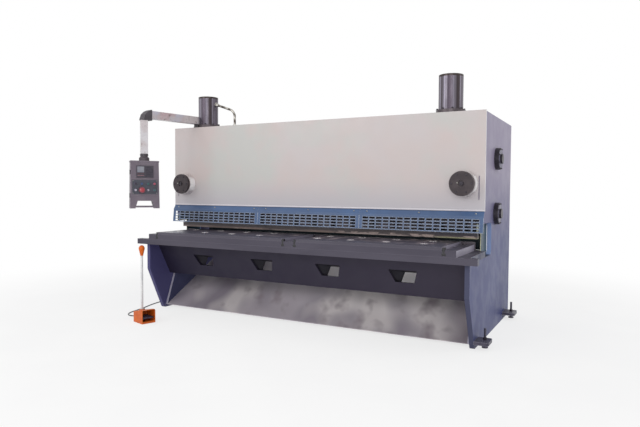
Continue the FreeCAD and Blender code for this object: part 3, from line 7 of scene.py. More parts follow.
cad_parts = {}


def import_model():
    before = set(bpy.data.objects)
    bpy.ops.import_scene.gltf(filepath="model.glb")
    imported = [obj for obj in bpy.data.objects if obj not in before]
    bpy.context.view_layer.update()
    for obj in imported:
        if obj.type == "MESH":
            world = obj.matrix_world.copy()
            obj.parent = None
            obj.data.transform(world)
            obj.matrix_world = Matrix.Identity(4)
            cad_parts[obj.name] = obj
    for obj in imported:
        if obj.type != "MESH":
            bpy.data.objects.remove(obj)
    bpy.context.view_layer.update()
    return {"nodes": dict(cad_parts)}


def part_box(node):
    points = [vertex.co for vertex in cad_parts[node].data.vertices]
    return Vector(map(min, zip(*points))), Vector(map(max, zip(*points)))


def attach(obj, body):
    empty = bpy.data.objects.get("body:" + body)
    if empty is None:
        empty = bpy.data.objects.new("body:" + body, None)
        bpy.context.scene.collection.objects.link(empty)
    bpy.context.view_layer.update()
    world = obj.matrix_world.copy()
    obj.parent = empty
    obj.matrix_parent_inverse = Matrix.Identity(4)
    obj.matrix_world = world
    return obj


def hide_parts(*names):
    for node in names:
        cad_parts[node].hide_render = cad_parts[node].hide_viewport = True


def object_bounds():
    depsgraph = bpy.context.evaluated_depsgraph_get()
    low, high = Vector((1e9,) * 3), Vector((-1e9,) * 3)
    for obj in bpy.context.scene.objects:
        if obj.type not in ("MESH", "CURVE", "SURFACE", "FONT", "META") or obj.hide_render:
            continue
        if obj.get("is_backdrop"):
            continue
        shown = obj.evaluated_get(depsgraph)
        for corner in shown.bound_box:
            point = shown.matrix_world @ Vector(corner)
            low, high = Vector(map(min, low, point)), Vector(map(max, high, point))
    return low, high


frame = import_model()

# Hydraulic guillotine shear. X runs along the blades, Y from front to back, Z up.
# Places are written in millimetres from the front panel's face, as the part's source has them.

PANEL_Y = -279.0
SIDES = (("left", -1), ("right", 1))


def metres(points):
    """Points in millimetres from the panel's face, as metres in the model's frame."""
    return (np.asarray(points, float) + (0, PANEL_Y, 0)) / 1000


def corners_of(node):
    """The low and the high corner of a CAD node's box, in millimetres from the panel's face."""
    return [np.array(corner) * 1000 - (0, PANEL_Y, 0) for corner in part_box(node)]


# Shapes: each is a pair (points, faces) in millimetres


def skin(grid, start=True, end=True, loop=False):
    """Quads between neighbouring points of a stack of rings; the two ends are closed, or meet in a loop."""
    rings, count = grid.shape[:2]
    index = np.arange(rings * count).reshape(rings, count)
    if loop:
        index, start, end = np.concatenate([index, index[:1]]), False, False
    after = np.roll(index, -1, axis=1)
    faces = np.stack([index[:-1], after[:-1], after[1:], index[1:]], axis=-1).reshape(-1, 4).tolist()
    if start:
        faces.append(index[0, ::-1].tolist())
    if end:
        faces.append(index[-1].tolist())
    return grid.reshape(-1, 3), faces


def turned(profile, sides=32, start=True, end=True):
    """A profile of (radius, height) carried round the Z axis: x = r cos a, y = r sin a, z = height."""
    profile = np.asarray(profile, float)
    angle = 2 * math.pi * (np.arange(sides) + 0.5) / sides
    radius, height = profile[:, :1], profile[:, 1:]
    upright = np.broadcast_to(height, (len(profile), sides))
    return skin(np.stack([radius * np.cos(angle), radius * np.sin(angle), upright], axis=-1), start, end)


def rounded(width, height, radius, steps=5):
    """Outline of a rectangle with round corners: quarter circles about the four inset corners."""
    quarter = np.linspace(0, math.pi / 2, steps)
    sign = np.array([(1, 1), (-1, 1), (-1, -1), (1, -1)])
    angle = quarter + np.arange(4)[:, None] * math.pi / 2
    centre = sign * (width / 2 - radius, height / 2 - radius)
    return (centre[:, None] + radius * np.stack([np.cos(angle), np.sin(angle)], axis=-1)).reshape(-1, 2)


def raised(outline, levels):
    """An outline stacked at levels of (height, inset): each ring is the outline drawn in by its inset."""
    outline, levels = np.asarray(outline, float), np.asarray(levels, float)
    way = np.roll(outline, -1, axis=0) - np.roll(outline, 1, axis=0)
    way /= np.linalg.norm(way, axis=1, keepdims=True)
    inward = np.stack([-way[:, 1], way[:, 0]], axis=-1)
    flat = outline + inward * levels[:, 1, None, None]
    upright = np.broadcast_to(levels[:, 0, None, None], (*flat.shape[:2], 1))
    return skin(np.concatenate([flat, upright], axis=-1))


def slab(outline, thick, chamfer=1.0):
    """An outline raised to a thickness, the rim of its far side chamfered."""
    return raised(outline, [(0, 0), (thick - chamfer, 0), (thick, chamfer)])


def moved(shape, turn=None, to=(0, 0, 0)):
    """A shape turned by a 3 by 3 matrix, then shifted."""
    points, faces = shape
    if turn is not None:
        points = points @ np.asarray(turn).T
    return points + np.asarray(to, float), faces


def facing(direction):
    """The turn that points a shape's Z axis along a direction, its Y axis kept as upright as it can be."""
    z = np.asarray(direction, float) / np.linalg.norm(direction)
    nearly_upright = 0.9
    up = (0, 0, 1) if abs(z[2]) < nearly_upright else (0, 1, 0)
    x = np.cross(up, z)
    x /= np.linalg.norm(x)
    return np.column_stack([x, np.cross(z, x), z])


def spun(degrees):
    """A turn about the upright axis."""
    c, s = math.cos(math.radians(degrees)), math.sin(math.radians(degrees))
    return np.array([[c, -s, 0], [s, c, 0], [0, 0, 1]])


def joined(shapes):
    """Several shapes as one."""
    points, faces, base = [], [], 0
    for spots, sides in shapes:
        points.append(spots)
        faces += [[base + n for n in face] for face in sides]
        base += len(spots)
    return np.concatenate(points), faces


def at_each(shape, spots):
    """A copy of a shape at each spot."""
    return joined([moved(shape, to=spot) for spot in spots])


def around(shape, count, radius, start=0.0, skip=()):
    """Copies of a shape round the Z axis at equal angles, without the numbers in skip."""
    angles = [math.radians(start + n * 360 / count) for n in range(count) if n not in skip]
    return at_each(shape, [(radius * math.cos(a), radius * math.sin(a), 0) for a in angles])


CREASE = math.radians(32)
FRONT, LEFT = facing((0, -1, 0)), facing((-1, 0, 0))


def piece(name, shape, finish, body):
    """One mesh object of the scene, riding on a body, with the finish it is given."""
    points, faces = shape
    mesh = bpy.data.meshes.new(name)
    mesh.from_pydata(metres(points).tolist(), [], faces)
    mesh.materials.append(finish)
    mesh.shade_smooth()
    mesh.set_sharp_from_angle(angle=CREASE)
    item = bpy.data.objects.new(name, mesh)
    bpy.context.scene.collection.objects.link(item)
    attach(item, body)
    return item


# Camera: the photograph's own view, as it was fitted to it; the focal length is in the photograph's pixels

YAW, PITCH, ROLL = math.radians(28.13), math.radians(2.32), math.radians(0.33)
EYE = Vector(metres([2763.46, -4899.01, 1309.21]))
FOCAL_PIXELS, PHOTO_WIDTH, SENSOR = 558.25, 640, 36


def camera():
    """A camera turned left by the yaw, down by the pitch and rolled, with the photograph's focal length."""
    forward = Vector((-math.sin(YAW) * math.cos(PITCH), math.cos(YAW) * math.cos(PITCH), -math.sin(PITCH)))
    right = Vector((math.cos(YAW), math.sin(YAW), 0))
    up = right.cross(forward)
    across = math.cos(ROLL) * right + math.sin(ROLL) * up
    upright = math.cos(ROLL) * up - math.sin(ROLL) * right
    data = bpy.data.cameras.new("Camera")
    data.sensor_width, data.lens, data.clip_end = SENSOR, FOCAL_PIXELS / PHOTO_WIDTH * SENSOR, 200
    item = bpy.data.objects.new("Camera", data)
    item.matrix_world = Matrix.Translation(EYE) @ Matrix([across, upright, -forward]).transposed().to_4x4()
    bpy.context.scene.collection.objects.link(item)
    bpy.context.scene.camera = item


camera()


# Materials: a finish is a base colour with layers over it, each a share of the surface and its colour

# Cosines between the bevelled and the real normal where a worn edge begins and where it is full
EDGE_BEGINS, EDGE_FULL = 0.995, 0.9
# Size of the patches in which a finish is duller or shinier
WORN_PATCH = 150
# Degrees in a radian, rounded
RADIAN = 57.3


def linear(code):
    """An sRGB colour such as "#a0b0c0" as linear red, green, blue and alpha."""
    parts = [int(code[n : n + 2], 16) / 255 for n in (1, 3, 5)]
    return [c / 12.92 if c <= 0.04045 else ((c + 0.055) / 1.055) ** 2.4 for c in parts] + [1.0]


def add(tree, kind, inputs=(), **settings):
    """Adds one node; an input is a value, a hex colour, or another node or its output to link."""
    node = tree.nodes.new("ShaderNode" + kind)
    for key, value in settings.items():
        setattr(node, key, value)
    for key, value in dict(inputs).items():
        named = [socket for socket in node.inputs if socket.enabled and socket.name == key]
        socket = node.inputs[key] if isinstance(key, int) else named[0]
        if isinstance(value, bpy.types.Node):
            value = next(output for output in value.outputs if output.enabled)
        if isinstance(value, bpy.types.NodeSocket):
            tree.links.new(value, socket)
        else:
            socket.default_value = linear(value) if isinstance(value, str) else value
    return node


def clouds(size, low=0.4, high=0.6, detail=4.0, stretch=(1, 1, 1), turn=0.0):
    """Share: cloudy patches of a size in millimetres, drawn out by the stretch along axes turned about Z."""

    def share(tree, place):
        axes = {"Vector": place, "Rotation": (0, 0, math.radians(turn)), "Scale": stretch}
        drawn = add(tree, "Mapping", axes, vector_type="TEXTURE")
        lumps = add(tree, "TexNoise", {"Vector": drawn, "Scale": 1000 / size, "Detail": detail})
        return add(tree, "MapRange", {"Value": lumps, "From Min": low, "From Max": high})

    return share


def reflection_bands(size, low=0.4, high=0.6, offset=0.0):
    """Share: upright bands of painted reflection on a round body, as wide as the size in degrees; they follow
    its normal.
    """

    def share(tree, place):
        normal = add(tree, "TexCoord").outputs["Normal"]
        flat = add(tree, "Mapping", {"Vector": normal, "Scale": (1, 1, 0), "Location": (offset, 0, 0)})
        lumps = add(tree, "TexNoise", {"Vector": flat, "Scale": RADIAN / size, "Detail": 3.0})
        return add(tree, "MapRange", {"Value": lumps, "From Min": low, "From Max": high})

    return share


def reach(axis, low, high):
    """Share: none at one place along an axis and all at the other, in millimetres."""
    shift = PANEL_Y if axis == "Y" else 0

    def share(tree, place):
        spot = add(tree, "SeparateXYZ", {"Vector": place}).outputs[axis]
        span = {"From Min": (low + shift) / 1000, "From Max": (high + shift) / 1000}
        return add(tree, "MapRange", {"Value": spot, **span})

    return share


def looking(axis, low=0.5, high=0.8):
    """Share: the faces that look along an axis; below zero, the faces that look against it."""

    def share(tree, place):
        normal = add(tree, "TexCoord").outputs["Normal"]
        part = add(tree, "SeparateXYZ", {"Vector": normal}).outputs[axis]
        return add(tree, "MapRange", {"Value": part, "From Min": low, "From Max": high})

    return share


def edges(width):
    """Share: a strip of a width in millimetres along sharp edges, where paint is thin and catches light."""

    def share(tree, place):
        soft = add(tree, "Bevel", {"Radius": width / 1000}, samples=6)
        sharp = add(tree, "NewGeometry").outputs["Normal"]
        turn = add(tree, "VectorMath", {0: soft, 1: sharp}, operation="DOT_PRODUCT").outputs["Value"]
        return add(tree, "MapRange", {"Value": turn, "From Min": EDGE_BEGINS, "From Max": EDGE_FULL})

    return share


def both(first, second, amount=1.0):
    """Share: where two shares meet, times an amount."""

    def share(tree, place):
        met = add(tree, "Math", {0: first(tree, place), 1: second(tree, place)}, operation="MULTIPLY")
        return add(tree, "Math", {0: met, 1: amount}, operation="MULTIPLY")

    return share


def surface(name, base, layers, rough, grain=(0, 0), edge=0, stretch=(1, 1, 1), **shader):
    """A finish with a colour of layers, a roughness that wanders, fine relief and soft edges.

    grain is the relief's size and depth, and edge the radius of sharp edges, all in millimetres.
    """
    material = bpy.data.materials.new(name)
    material.use_nodes = True
    tree = material.node_tree
    tree.nodes.clear()
    place = add(tree, "TexCoord").outputs["Object"]
    colour = base
    for share, shade in layers:
        colour = add(tree, "Mix", {"Factor": share(tree, place), "A": colour, "B": shade}, data_type="RGBA")
    worn = clouds(WORN_PATCH, stretch=stretch)(tree, place)
    inputs = {"Base Color": colour}
    inputs["Roughness"] = add(tree, "MapRange", {"Value": worn, "To Min": rough[0], "To Max": rough[1]})
    if edge:
        inputs["Normal"] = add(tree, "Bevel", {"Radius": edge / 1000}, samples=4)
    if grain[0]:
        fine = clouds(grain[0], 0.0, 1.0, 2.0, stretch)(tree, place)
        relief = {"Height": fine, "Distance": grain[1] / 1000}
        if edge:
            relief["Normal"] = inputs["Normal"]
        inputs["Normal"] = add(tree, "Bump", relief)
    inputs.update({key.replace("_", " "): value for key, value in shader.items()})
    add(tree, "OutputMaterial", {"Surface": add(tree, "BsdfPrincipled", inputs)})
    return material


# Satin machine paint, sprayed on folded sheet: warm off-white, faint rose and green clouds, bluer low down;
# its side returns, which look along X, are painted near white as a painted highlight
panel_paint = surface(
    "off_white_machine_paint", "#c4bcbc",
    [(clouds(620), "#c6bab8"), (clouds(540, 0.48, 0.64), "#bfbebb"),
     (reach("Z", 1420, 1150), "#b9b5bb"), (looking("X", 0.7, 0.9), "#f3f1f2")],
    (0.34, 0.46), (14, 0.05), 3,
)  # fmt: skip

# The plate's edge at the back of the throat, which looks to the front: painted pale blue, partly blue paint
# and partly a painted highlight of the lit wall
throat_wall_blue_and_highlight = both(looking("Y", -0.2, -0.6), reach("Y", 200, 260))


def plate_paint(name, outwards, inner):
    """Structural paint on flame-cut plate, slightly wavy: violet grey outside, bluer and darker low down as
    painted shade, with paler blue clouds low down as a painted sheen.

    outerwards is +1 or -1, the way the outer face looks along X; inner colours the inner face and the edges,
    as their painted shade.
    """
    layers = [
        # Painted shade: darker and bluer towards the floor
        (reach("Z", 1500, 800), "#444a78"),
        (both(clouds(1300, 0.42, 0.62, 0), reach("Z", 1400, 700), 0.25), "#3d426a"),
        # Painted sheen: paler blue clouds low on the plate
        (both(clouds(900, 0.5, 0.8, 0), reach("Z", 1100, 500), 0.2), "#7078a2"),
        # Painted shade: the inner faces and the edges in a darker colour
        (looking("X", 0.6 * outwards, 0.3 * outwards), inner),
        (throat_wall_blue_and_highlight, "#8ea2cf"),
    ]
    return surface(name, "#938ba3", layers, (0.4, 0.48), (60, 0.12), 3, Specular_IOR_Level=0.25)


# The last colour of each is the painted shade of its inner face and edges
right_paint = plate_paint("violet_grey_plate_paint", 1, "#45475f")
left_paint = plate_paint("violet_grey_plate_paint_left", -1, "#4c4a74")
# The same paint on the inner ribs, painted deep navy as painted shade; a pale line along each cut edge,
# partly worn and partly a painted highlight, and the faces that look to the front painted pale as a painted
# highlight
rib_paint = surface(
    "rib_paint_shade_and_highlight", "#484a69",
    [(clouds(200), "#3f4161"), (edges(6), "#77768c"), (looking("Y", -0.5, -0.8), "#a9a6b6")],
    (0.4, 0.55), (18, 0.1), 2, Specular_IOR_Level=0.3,
)  # fmt: skip
# Structural paint on the beams behind: violet grey, lightly dusty
frame_paint = surface(
    "violet_grey_beam_paint", "#7c7890", [(clouds(400), "#716e88"), (edges(4), "#97939f")],
    (0.36, 0.5), (22, 0.1), 3,
)  # fmt: skip
# Blue paint on perforated sheet: pale round every opening, partly rubbed paint and partly a painted highlight
# of the lit edges; the top flange's edges carry a near-white painted highlight
guard_paint = surface(
    "blue_guard_paint", "#46618a",
    [(clouds(300), "#42597e"), (both(edges(6), reach("Z", 1084, 1080)), "#c6cdda"), (edges(2), "#8fa0ba")],
    (0.3, 0.42), (12, 0.04), 1,
)  # fmt: skip
# Dark paint on a heavy welded beam: greyer to the right, dust and scuffs show light
beam_paint = surface(
    "dark_grey_machine_paint", "#262234",
    [(reach("X", -1400, 1700), "#3b3644"),
     (both(clouds(320, 0.5, 0.7), reach("Z", 378, 730), 0.5), "#332f3d")],
    (0.42, 0.55), (16, 0.08), 2, Specular_IOR_Level=0.2,
)  # fmt: skip


def table_paint(name, right_end):
    """Rubbed paint on planed plate: grey violet, streaked along the blades, with its own right end."""
    layers = [
        (clouds(160, stretch=(5, 1, 1)), "#433f4c"),
        (edges(3), "#5f5b68"),
        (looking("X", 0.6, 0.8), right_end),
    ]
    return surface(name, "#4b4754", layers, (0.34, 0.48), (9, 0.06), 2, (5, 1, 1), Specular_IOR_Level=0.35)


BARE_STEEL = "#938e9f"
# The bed's right end face is painted dark navy as painted shade
bed_paint = table_paint("rubbed_grey_table_paint", "#24274a")
top_paint = table_paint("rubbed_grey_top_paint", BARE_STEEL)
# The table's pads, rubbed by sheet metal: cream and rose flashes between grey strips, darker at the back
flashes = both(clouds(80, 0.48, 0.66, 3, (1, 2, 1)), reach("Y", -420, -250))
flashes = both(flashes, both(looking("Z"), reach("X", -1000, 500), 0.75))
oily_back = both(both(clouds(70, 0.52, 0.7, 3, (1, 2, 1)), reach("Y", -300, -100)), looking("Z"), 0.6)
pad_paint = surface(
    "rubbed_table_pads", "#4d4956",
    [(clouds(160, stretch=(5, 1, 1)), "#433f4c"), (edges(3), "#6a6673"), (flashes, "#a99b9e"),
     (oily_back, "#413a3f"), (looking("X", 0.6, 0.8), BARE_STEEL)],
    (0.3, 0.45), (9, 0.06), 2, (5, 1, 1),
)  # fmt: skip
# Oily planed bar of the hold-down: dark brown grey, rubbed tan and cream low down, its lip straw at the right
rubbed = both(clouds(90, 0.35, 0.6, 3, (4, 1, 1)), reach("Z", 917, 909))
patches = both(clouds(60, 0.5, 0.57, 3, (2, 1, 1)), both(reach("X", -300, 900), reach("Z", 922, 914)))
lip = both(clouds(50, 0.46, 0.6, 4, (6, 1, 1)), reach("Z", 906, 903))
right_part = reach("X", 1150, 1350)
bar_steel = surface(
    "oily_planed_bar", "#473f41",
    [(rubbed, "#74645f"), (patches, "#a3928c"),
     (both(reach("Z", 913, 921), right_part), "#332e38"),
     (lip, "#998c88"), (both(lip, right_part), "#8e8d70")],
    (0.3, 0.5), (6, 0.08), 1, (8, 1, 1), Metallic=0.1,
)  # fmt: skip
# Ground tool steel, oiled: fine lines along the edge, a dark cool shine
ground_steel = surface(
    "ground_tool_steel", "#5b555c", [(clouds(60, stretch=(8, 1, 1)), "#474248"), (edges(3), "#8f8a92")],
    (0.26, 0.4), (5, 0.02), 1, (8, 1, 1), Metallic=0.7,
)  # fmt: skip
# Mill-finish steel sheet, lacquered and dulled by swarf: cloudy grey shine, drawn out down the slope; near
# white at its rear, right of the middle, as a painted pool of light
mill_sheet = surface(
    "mill_finish_steel_sheet", "#b3abb3",
    [(clouds(460, 0.4, 0.6, 1, (1, 1.7, 1.7), 28), "#978f9a"),
     (clouds(380, 0.48, 0.66, 1, (1, 1.6, 1.6), 28), "#d2cbcc"),
     (clouds(170, 0.54, 0.74, 2, (1, 1.6, 1.6), 28), "#93888f"), (reach("X", 1380, 1640), "#8f868e"),
     # Painted pool of light: near white at the rear, right of the middle
     (both(reach("Y", 300, 420), reach("X", -300, 500)), "#fffafc")],
    (0.3, 0.5), (30, 0.1), 0, Metallic=0.15,
)  # fmt: skip
# Honed and oiled cylinder: dark, with brown, violet and pale upright bands of painted reflection, and a brown
# rim
cylinder_steel = surface(
    "oiled_cylinder_steel", "#6b656f",
    [(reflection_bands(30, 0.42, 0.55), "#3c3337"), (reflection_bands(17, 0.52, 0.62, 3.0), "#9c96a6"),
     (reflection_bands(40, 0.5, 0.6, 7.0), "#4f4652"),
     (reach("Z", 2340, 2346), "#3a3130"), (reach("Z", 2050, 2046), "#544c50")],
    (0.28, 0.4), (40, 0.02), 2, Metallic=0.55,
)  # fmt: skip
# Blackened steel: oil-dark, dull shine
black_steel = surface(
    "blackened_steel", "#2a262e", [(clouds(50), "#38333b"), (edges(2), "#5d5862")],
    (0.36, 0.5), (5, 0.04), 2, Metallic=0.4,
)  # fmt: skip
# Zinc-phosphated foot plates: dark violet grey, paler along the edges, partly scuffs and partly a painted
# highlight
foot_steel = surface(
    "phosphated_foot_plate", "#4a4756", [(clouds(60), "#3e3b4a"), (edges(5), "#8d8a9a")],
    (0.36, 0.5), (6, 0.05), 2, Metallic=0.3,
)  # fmt: skip
# Turned cap, phosphated: dark brown grey with a dull shine
turned_cap = surface(
    "phosphated_turned_steel", "#423a3d", [(clouds(60), "#372f33"), (edges(3), "#6a6165")],
    (0.34, 0.48), (4, 0.03), 2, Metallic=0.35,
)  # fmt: skip
# Turned face of the side caps and the button collars: violet grey with a soft shine
turned_face = surface(
    "bright_turned_face", "#625e77", [(clouds(40), "#524e66")], (0.3, 0.42), (3, 0.02), 1, Metallic=0.4
)
# Box enamel, mauve grey, textured powder coat: fine even grain; its cast neck is darker
box_coat = surface(
    "mauve_grey_powder_coat", "#6f6570",
    [(clouds(110), "#675d69"), (edges(4), "#8d838e"), (reach("Z", 1610.5, 1612), "#453d43")],
    (0.45, 0.55), (6, 0.06), 3,
)  # fmt: skip
# Silver lacquer on a square tube: light, with soft bluish, cream and rose clouds
silver_coat = surface(
    "silver_tube_lacquer", "#b4abad",
    [(clouds(190, 0.45, 0.6, 2), "#ae989c"), (clouds(150, 0.5, 0.62, 2), "#b3b0bb"),
     (clouds(60, 0.58, 0.7), "#7a6a6a")],
    (0.26, 0.4), (6, 0.03), 2, Metallic=0.2,
)  # fmt: skip
# The same lacquer on the drop tube, painted paler as painted light
drop_coat = surface(
    "pale_tube_lacquer", "#c3bbbd",
    [(clouds(120, 0.5, 0.62, 2), "#cbc8cc"), (clouds(50, 0.58, 0.7), "#a89d9d")],
    (0.24, 0.38), (6, 0.03), 2, Metallic=0.1,
)  # fmt: skip
# Dark grey paint on the arm's cast joint: sandy grain, dull
joint_coat = surface(
    "dark_cast_joint", "#454046", [(clouds(40), "#393439"), (edges(4), "#6c666c")], (0.42, 0.55), (5, 0.1), 3
)
# Orange enamel on a cast foot switch: glossy, warm
orange_enamel = surface(
    "orange_enamel", "#d5661c", [(clouds(60), "#c85c1a"), (edges(3), "#e08444")],
    (0.32, 0.44), (7, 0.05), 3, Specular_IOR_Level=0.25,
)  # fmt: skip
# Ribbed rubber of the treadle: near black, dull
treadle_rubber = surface("moulded_rubber", "#2c2433", [(clouds(20), "#3a2f44")], (0.6, 0.75), (3, 0.05), 1)
# Zinc plated steel: pale, faintly yellow shine
zinc = surface(
    "zinc_plated_steel", "#bdbab4", [(clouds(18), "#a9a7a2")], (0.26, 0.38), (2, 0.02), 1, Metallic=1.0
)
# Chromed tube of the foot switch: near white, a painted reflection of the white surroundings, with a soft
# shine
chrome_tube = surface(
    "chromed_tube", "#e3e3e3", [(clouds(80), "#d4d4d6")], (0.18, 0.28), (20, 0.01), 0, Metallic=0.15
)
# Oiled steel pipe: pale shine with dark brown stains
oiled_pipe = surface(
    "oiled_steel_pipe", "#b5b1aa", [(clouds(60, 0.44, 0.56), "#4c443d")], (0.26, 0.4), Metallic=0.7
)
# Hardened chrome steel balls: clear mirror shine
chrome = surface("chrome_steel", "#d9d7da", [(clouds(30), "#cac8cc")], (0.08, 0.14), Metallic=1.0)
# Cable sheath, extruded rubber: black, soft shine
sheath = surface("rubber_cable_sheath", "#1c1b1d", [(clouds(30), "#252327")], (0.45, 0.6), (3, 0.03))
# Moulded nylon of the glands: black, even, dull shine; the same black fills the T-slot mouths as painted
# shadow
nylon = surface("black_nylon", "#242326", [(clouds(15), "#2c2b2f")], (0.4, 0.5), (2, 0.03), 1)
# Anodised plates of the box: near black and blue grey, satin, paler along the cut edges
plate_black = surface(
    "anodised_black_plate", "#322d38", [(clouds(30), "#3a3440"), (edges(2), "#5c5562")],
    (0.35, 0.45), (2, 0.02), 1,
)  # fmt: skip
button_plate = surface(
    "anodised_blue_grey_plate", "#363843", [(clouds(40), "#3c3f4c"), (edges(2), "#5c5c6a")],
    (0.35, 0.45), (2, 0.02), 1,
)  # fmt: skip
# Silicone keys: dark violet grey, dull, faintly uneven
keypad_black = surface("silicone_keypad", "#2c2734", [(clouds(16), "#383142")], (0.5, 0.62), (2, 0.03), 1)
# Red mushroom of the stop button, moulded: even colour under a thin gloss
stop_red = surface("red_moulded_plastic", "#a32a3a", [(clouds(14), "#962534")], (0.25, 0.32), Coat_Weight=0.3)
# Machined cast iron of the ram and the hidden plates: dark, oiled
cast_iron = surface(
    "machined_cast_iron", "#3a363d", [(clouds(90), "#2e2a31"), (edges(3), "#5c5760")],
    (0.4, 0.55), (6, 0.08), 1, Metallic=0.4,
)  # fmt: skip
# Blued steel of the back gauge: near black with a teal cast
blued_steel = surface(
    "blued_steel", "#2c3d42", [(clouds(80), "#26323a"), (edges(3), "#56686e")], (0.34, 0.48), (6, 0.05), 1
)
# Dark teal paint on the covers that close the throats; the faces that look to the front are painted pale as a
# painted highlight
cover_paint = surface(
    "dark_teal_sheet_paint", "#2b4652", [(clouds(120), "#243c48"), (looking("Y", -0.5, -0.8), "#c3c4a6")],
    (0.34, 0.46), (12, 0.04), 1,
)  # fmt: skip
# Oil tank and motor paint: mid grey and blue grey, lightly dusty
tank_paint = surface(
    "grey_tank_paint", "#858793", [(clouds(220), "#787a86"), (edges(4), "#a3a5ae")],
    (0.38, 0.5), (10, 0.06), 2,
)  # fmt: skip
motor_paint = surface(
    "blue_grey_motor_paint", "#4c6078", [(clouds(70), "#43566d"), (edges(2), "#7d8ea2")],
    (0.36, 0.48), (5, 0.08), 1,
)  # fmt: skip


def dress(finish, *names):
    """Gives CAD nodes their finish."""
    for name in names:
        slots = frame["nodes"][name].material_slots
        if not slots:
            frame["nodes"][name].data.materials.append(finish)
        for slot in slots:
            slot.material = finish


dress(panel_paint, "front_panel")
dress(left_paint, "side_plate_left")
dress(right_paint, "side_plate_right")
dress(rib_paint, "gussets")
dress(frame_paint, "crown_plate", "rear_tie_beam")
dress(guard_paint, "guard_left", "guard_middle", "guard_right")
dress(beam_paint, "table_beam")
dress(bed_paint, "table_bed")
dress(top_paint, "table_top_plate")
dress(pad_paint, "table_pads")
dress(bar_steel, "hold_down_bar")
dress(ground_steel, "lower_blade", "upper_blade")
dress(mill_sheet, "chute_plate")
dress(cylinder_steel, "cylinder_left", "cylinder_right")
dress(black_steel, "side_guide_caps")
dress(foot_steel, "levelling_feet_left", "levelling_feet_right")
dress(turned_cap, "front_guide_caps")
dress(box_coat, "control_box")
dress(silver_coat, "pendant_arm")
dress(drop_coat, "pendant_drop")
dress(joint_coat, "pendant_elbow", "pendant_base")
dress(orange_enamel, "pedal_housing", "pedal_knob")
dress(treadle_rubber, "pedal_treadle")
dress(chrome_tube, "pedal_post")
dress(oiled_pipe, "hydraulic_pipe")
dress(chrome, "ball_transfers")
dress(nylon, "cable_gland")
dress(plate_black, "control_screen")
dress(button_plate, "control_buttons")
dress(cast_iron, "ram_beam", "press_beam", "hold_down_cylinders")
dress(blued_steel, "back_gauge")
dress(tank_paint, "oil_tank")
dress(motor_paint, "pump_motor")


# Foot switch cable: the part's own route; its radius is in metres, as the curve takes it

CABLE_RADIUS = 0.0055
CABLE = [
    (-1762, 700, 110), (-1812, 700, 110), (-1856, 676, 90), (-1874, 622, 58), (-1878, 564, 29),
    (-1884, 494, 9), (-1898, 402, 6.2), (-1916, 284, 6.4), (-1931, 138, 6.2), (-1932, -20, 6.2),
    (-1914, -160, 6.2), (-1880, -295, 6.2), (-1838, -415, 6.2), (-1812, -535, 6.2), (-1793, -645, 6.2),
    (-1744, -728, 6.2), (-1666, -772, 9), (-1583, -798, 21), (-1510.48, -825.05, 30), (-1465.63, -838.76, 30),
]  # fmt: skip


def cable():
    """The cable as a round NURBS line from the gland to the foot switch."""
    data = bpy.data.curves.new("foot_switch_cable", "CURVE")
    data.dimensions = "3D"
    data.bevel_depth, data.bevel_resolution, data.resolution_u = CABLE_RADIUS, 5, 16
    line = data.splines.new("NURBS")
    line.points.add(len(CABLE) - 1)
    for point, spot in zip(line.points, metres(CABLE)):
        point.co = (*spot, 1)
    line.order_u, line.use_endpoint_u = 3, True
    data.materials.append(sheath)
    item = bpy.data.objects.new("foot_switch_cable", data)
    bpy.context.scene.collection.objects.link(item)
    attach(item, "frame")
    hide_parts("pedal_cable")
    return item


# The sleeve starts just inside the gland's mouth
SLEEVE_SET = (1, 0, 0)
lead = cable()
sleeve = moved(turned([(0.1, 0), (9, 0), (9, 6), (8.4, 8), (6.6, 38), (6.1, 40), (0.1, 40)]), LEFT)
boot = piece("cable_boot", moved(sleeve, to=np.add(CABLE[0], SLEEVE_SET)), nylon, "frame")
metres(CABLE[0]).tolist()  # fmt: skip


# Fasteners


def bolt(radius, height):
    """A socket-head screw on the XY plane: a turned head with a chamfered rim and a round socket."""
    rim = [(radius, 0), (radius, height * 0.82), (radius * 0.86, height)]
    return turned([*rim, (radius * 0.55, height), (radius * 0.5, height * 0.55)], 16, start=False)


def nut(radius, height):
    """A hexagon nut on the XY plane: a six-sided turned profile with chamfered ends."""
    across, chamfer = radius * 0.92, height * 0.12
    return turned([(across, 0), (radius, chamfer), (radius, height - chamfer), (across, height)], 6)


def dome(radius, height):
    """A round-head screw on the XY plane: a profile that falls off like a shallow cap."""
    crown = [(radius * 0.62, height * 0.86), (radius * 0.2, height)]
    return turned([(radius, 0), (radius * 0.92, height * 0.5), *crown], 12)


# Front guide caps: screws near the rim, a grease nipple left of the middle and a small turned recess

FRONT_CAP_RADIUS, FRONT_CAP_SCREW_CIRCLE = 108, 86
cap_low, cap_high = corners_of("front_guide_caps")
cap_x, cap_z = cap_high[0] - FRONT_CAP_RADIUS, (cap_low[2] + cap_high[2]) / 2
screws = around(bolt(8, 6), 6, FRONT_CAP_SCREW_CIRCLE)
recess = turned([(17, -1), (17, 2), (14, 3.2), (11, 2), (10, 0.6)], 40, start=False)
nipple = turned([(6, 0), (6, 4), (4, 6), (4, 10), (5.5, 13), (3, 16)], 16, start=False)
nipple = moved(nipple, to=(-34, 6, 0))
for side, sign in SIDES:
    for name, shape, finish in (
        ("screws", screws, black_steel), ("recess", recess, black_steel), ("nipple", nipple, zinc),
    ):  # fmt: skip
        placed = moved(shape, FRONT, (sign * cap_x, cap_low[1], cap_z))
        piece(f"front_cap_{name}_{side}", placed, finish, "frame")

# Side guide caps: a turned face with a groove round the hub, and screws in the black rim

